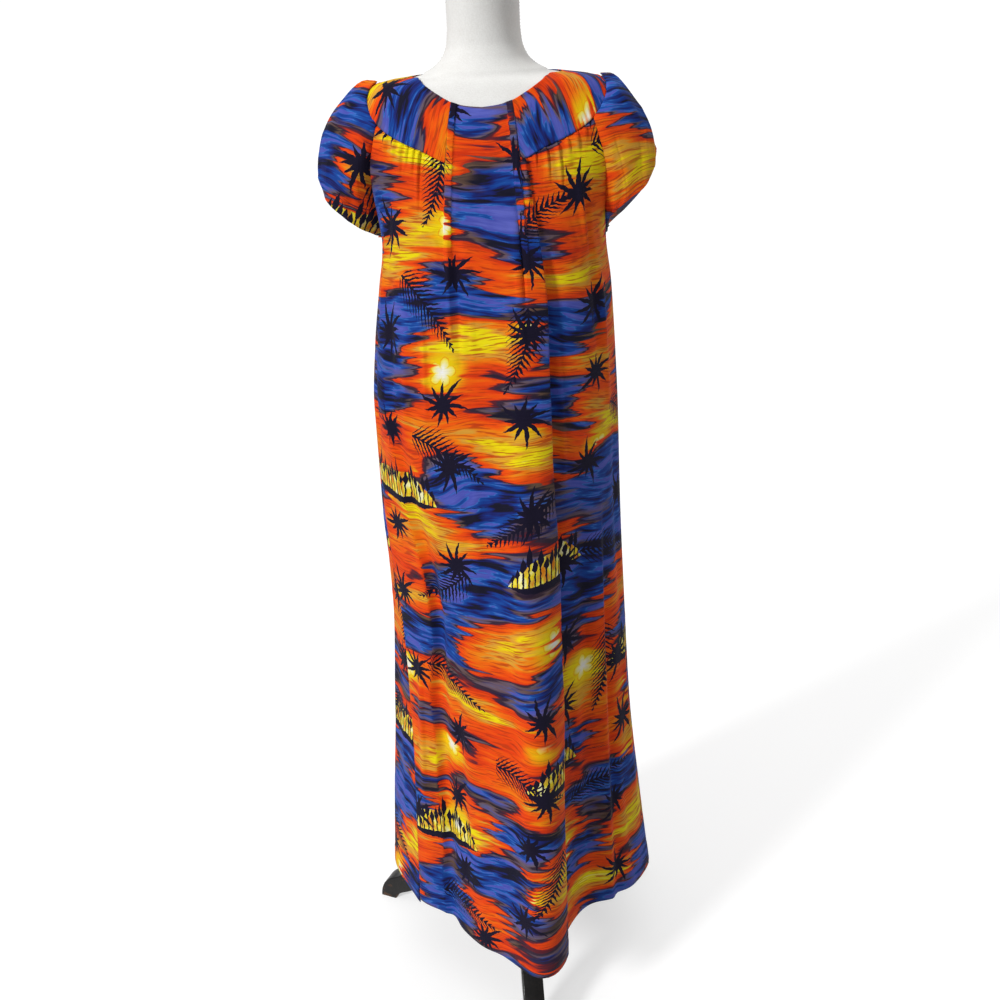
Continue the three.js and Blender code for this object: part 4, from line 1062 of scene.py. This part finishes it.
def leg_points(direction):
    """A leg as a rounded rectangle carried along it: at each share the section runs from the under
    edge to the upper edge of the sawn outline, with eased corners."""
    start = HUB_RADIUS + SEAM_GAP
    share, toe = np.linspace(0, 1, 60), np.linspace(0, 1, 14)[1:]
    upper = np.vstack([bezier([(start, 330), (150, 330), (160, 92), (259, 46)], share),
                       bezier([(259, 46), (285, 34), (287, 0)], toe)])
    under = np.vstack([bezier([(start, 264), (120, 266), (135, 62), (237, 18)], share),
                       bezier([(237, 18), (251, 12), (255, 0)], toe)])
    quarter = np.repeat(np.arange(4) * np.pi / 2, 5)
    corner = np.tile(np.radians(np.linspace(0, 90, 5)), 4) + quarter
    to_side, to_top = np.sign(np.cos(np.pi / 4 + quarter)), np.sign(np.sin(np.pi / 4 + quarter))
    across = (upper - under)[:, None]
    side = to_side * (LEG_THICKNESS / 2 - LEG_EASING) + LEG_EASING * np.cos(corner)
    eased = LEG_EASING * (np.sin(corner) - to_top)
    level = (to_top + 1) / 2 + eased / np.linalg.norm(across, axis=-1)
    radial = under[:, None, 0] + across[..., 0] * level
    height = np.maximum(under[:, None, 1] + across[..., 1] * level, 0)
    turn = np.radians(direction)
    return np.stack([radial * np.cos(turn) - side * np.sin(turn),
                     radial * np.sin(turn) + side * np.cos(turn), height], axis=-1)


def turned(profile):
    """A profile of radius and height turned round the stand's axis, in 64 steps."""
    radius, height = np.array(profile, dtype=float).T[:, :, None]
    return round_axis(radius, np.radians(np.linspace(0, 360, 64, endpoint=False)), height)


# satin black lacquer over wood: long faint grain, roughness that wanders, and brown rubbed through
# in blots on the lowest 6 cm
lacquer, place = new_material("black_lacquer")
grain = noise(vector("MULTIPLY", place, (60, 60, 9)), 6.0, 5.0)
blots = noise(place, 55.0, 5.0)
worn = between(blots + carried(axes(place)[2], 0.0, 0.06, 0.16, 0.0), 0.66, 0.74)
black = colour_steps(grain, [(0.35, "#0a0909"), (0.65, "#161312")])
surface({"Base Color": mix_colour(worn, black, dye("#4a3424")),
         "Roughness": carried(worn * 0.6 + blots, 0.3, 1.1, 0.30, 0.62),
         "Normal": bumped(grain, 0.25, 0.0005), "Specular IOR Level": 0.25, "Coat Weight": 0.04})
for name, points in (
        ("pole", turned(pole_profile)), ("hub", turned(hub_profile)), ("leg_front", leg_points(-81)),
        ("leg_left", leg_points(41)), ("leg_right", leg_points(161))):
    piece = grid_piece("lacquered_" + name, points, closed_round=True)
    finish_piece(piece, [lacquer], "stand_" + name)

# Studio
# A pale floor, white surroundings and three soft lights, seen from the height and the angle of
# the photograph.
floor_corners = [(-200, -200, 0), (200, -200, 0), (200, 200, 0), (-200, 200, 0)]
floor = mesh_object("floor", floor_corners, [(0, 1, 2, 3)])
floor_paint = bpy.data.materials.new("floor_paint")
floor_paint.use_nodes = True
paint = floor_paint.node_tree.nodes["Principled BSDF"].inputs
for label, value in (("Base Color", (0.5, 0.5, 0.5, 1)), ("Roughness", 0.9),
                     ("Emission Color", (1, 1, 1, 1)), ("Emission Strength", 0.55)):
    paint[label].default_value = value
floor.data.materials.append(floor_paint)
floor.visible_diffuse = False

world = bpy.data.worlds.new("studio_white")
world.use_nodes = True
sky = world.node_tree.nodes["Background"].inputs
seen = Signal(add_node(world.node_tree, "LightPath").outputs["Is Camera Ray"])
world.node_tree.links.new((seen * 0.67 + 0.38).socket, sky["Strength"])
sky["Color"].default_value = (1, 1, 1, 1)
bpy.context.scene.world = world
bpy.context.scene.view_settings.view_transform = "Standard"

LOOK_AT = Vector((0.0, 0.0, 1.0))
for light_name, kind, place, size, power in (
        ("key", "SUN", (-2.3, -2.5, 2.9), np.radians(10), 2.6),
        ("overhead", "SUN", (0, 0, 4), np.radians(60), 0.95), ("rim", "AREA", (1.6, 2.4, 2.2), 2.0, 14)):
    lamp = bpy.data.lights.new(light_name, kind)
    lamp.energy = power
    setattr(lamp, "angle" if kind == "SUN" else "size", size)
    light = new_object(light_name, lamp)
    light.location = place
    light.rotation_euler = (LOOK_AT - light.location).to_track_quat("-Z", "Y").to_euler()

# the camera: degrees round, up from straight down and rolled, then metres
CAMERA_TURN, CAMERA_TILT, CAMERA_ROLL = np.radians([6.0, 68.0, -2.5])
CAMERA_DISTANCE, CAMERA_HEIGHT, CAMERA_LEFT = 1.77, 1.56, 0.008
camera_data = bpy.data.cameras.new("camera")
camera_data.sensor_width, camera_data.lens = 36.0, 36.0 * 1214 / 1000
camera = new_object("camera", camera_data)
right = np.array([np.cos(CAMERA_TURN), np.sin(CAMERA_TURN), 0])
back_off = np.array([np.sin(CAMERA_TURN), -np.cos(CAMERA_TURN), 0])
camera_place = (STAND_AXIS / 1000 + back_off * CAMERA_DISTANCE - right * CAMERA_LEFT
                + np.array([0, 0, CAMERA_HEIGHT]))
camera.matrix_world = (Matrix.Translation(camera_place.tolist()) @ Matrix.Rotation(CAMERA_TURN, 4, "Z")
                       @ Matrix.Rotation(CAMERA_TILT, 4, "X") @ Matrix.Rotation(CAMERA_ROLL, 4, "Z"))
bpy.context.scene.camera = camera
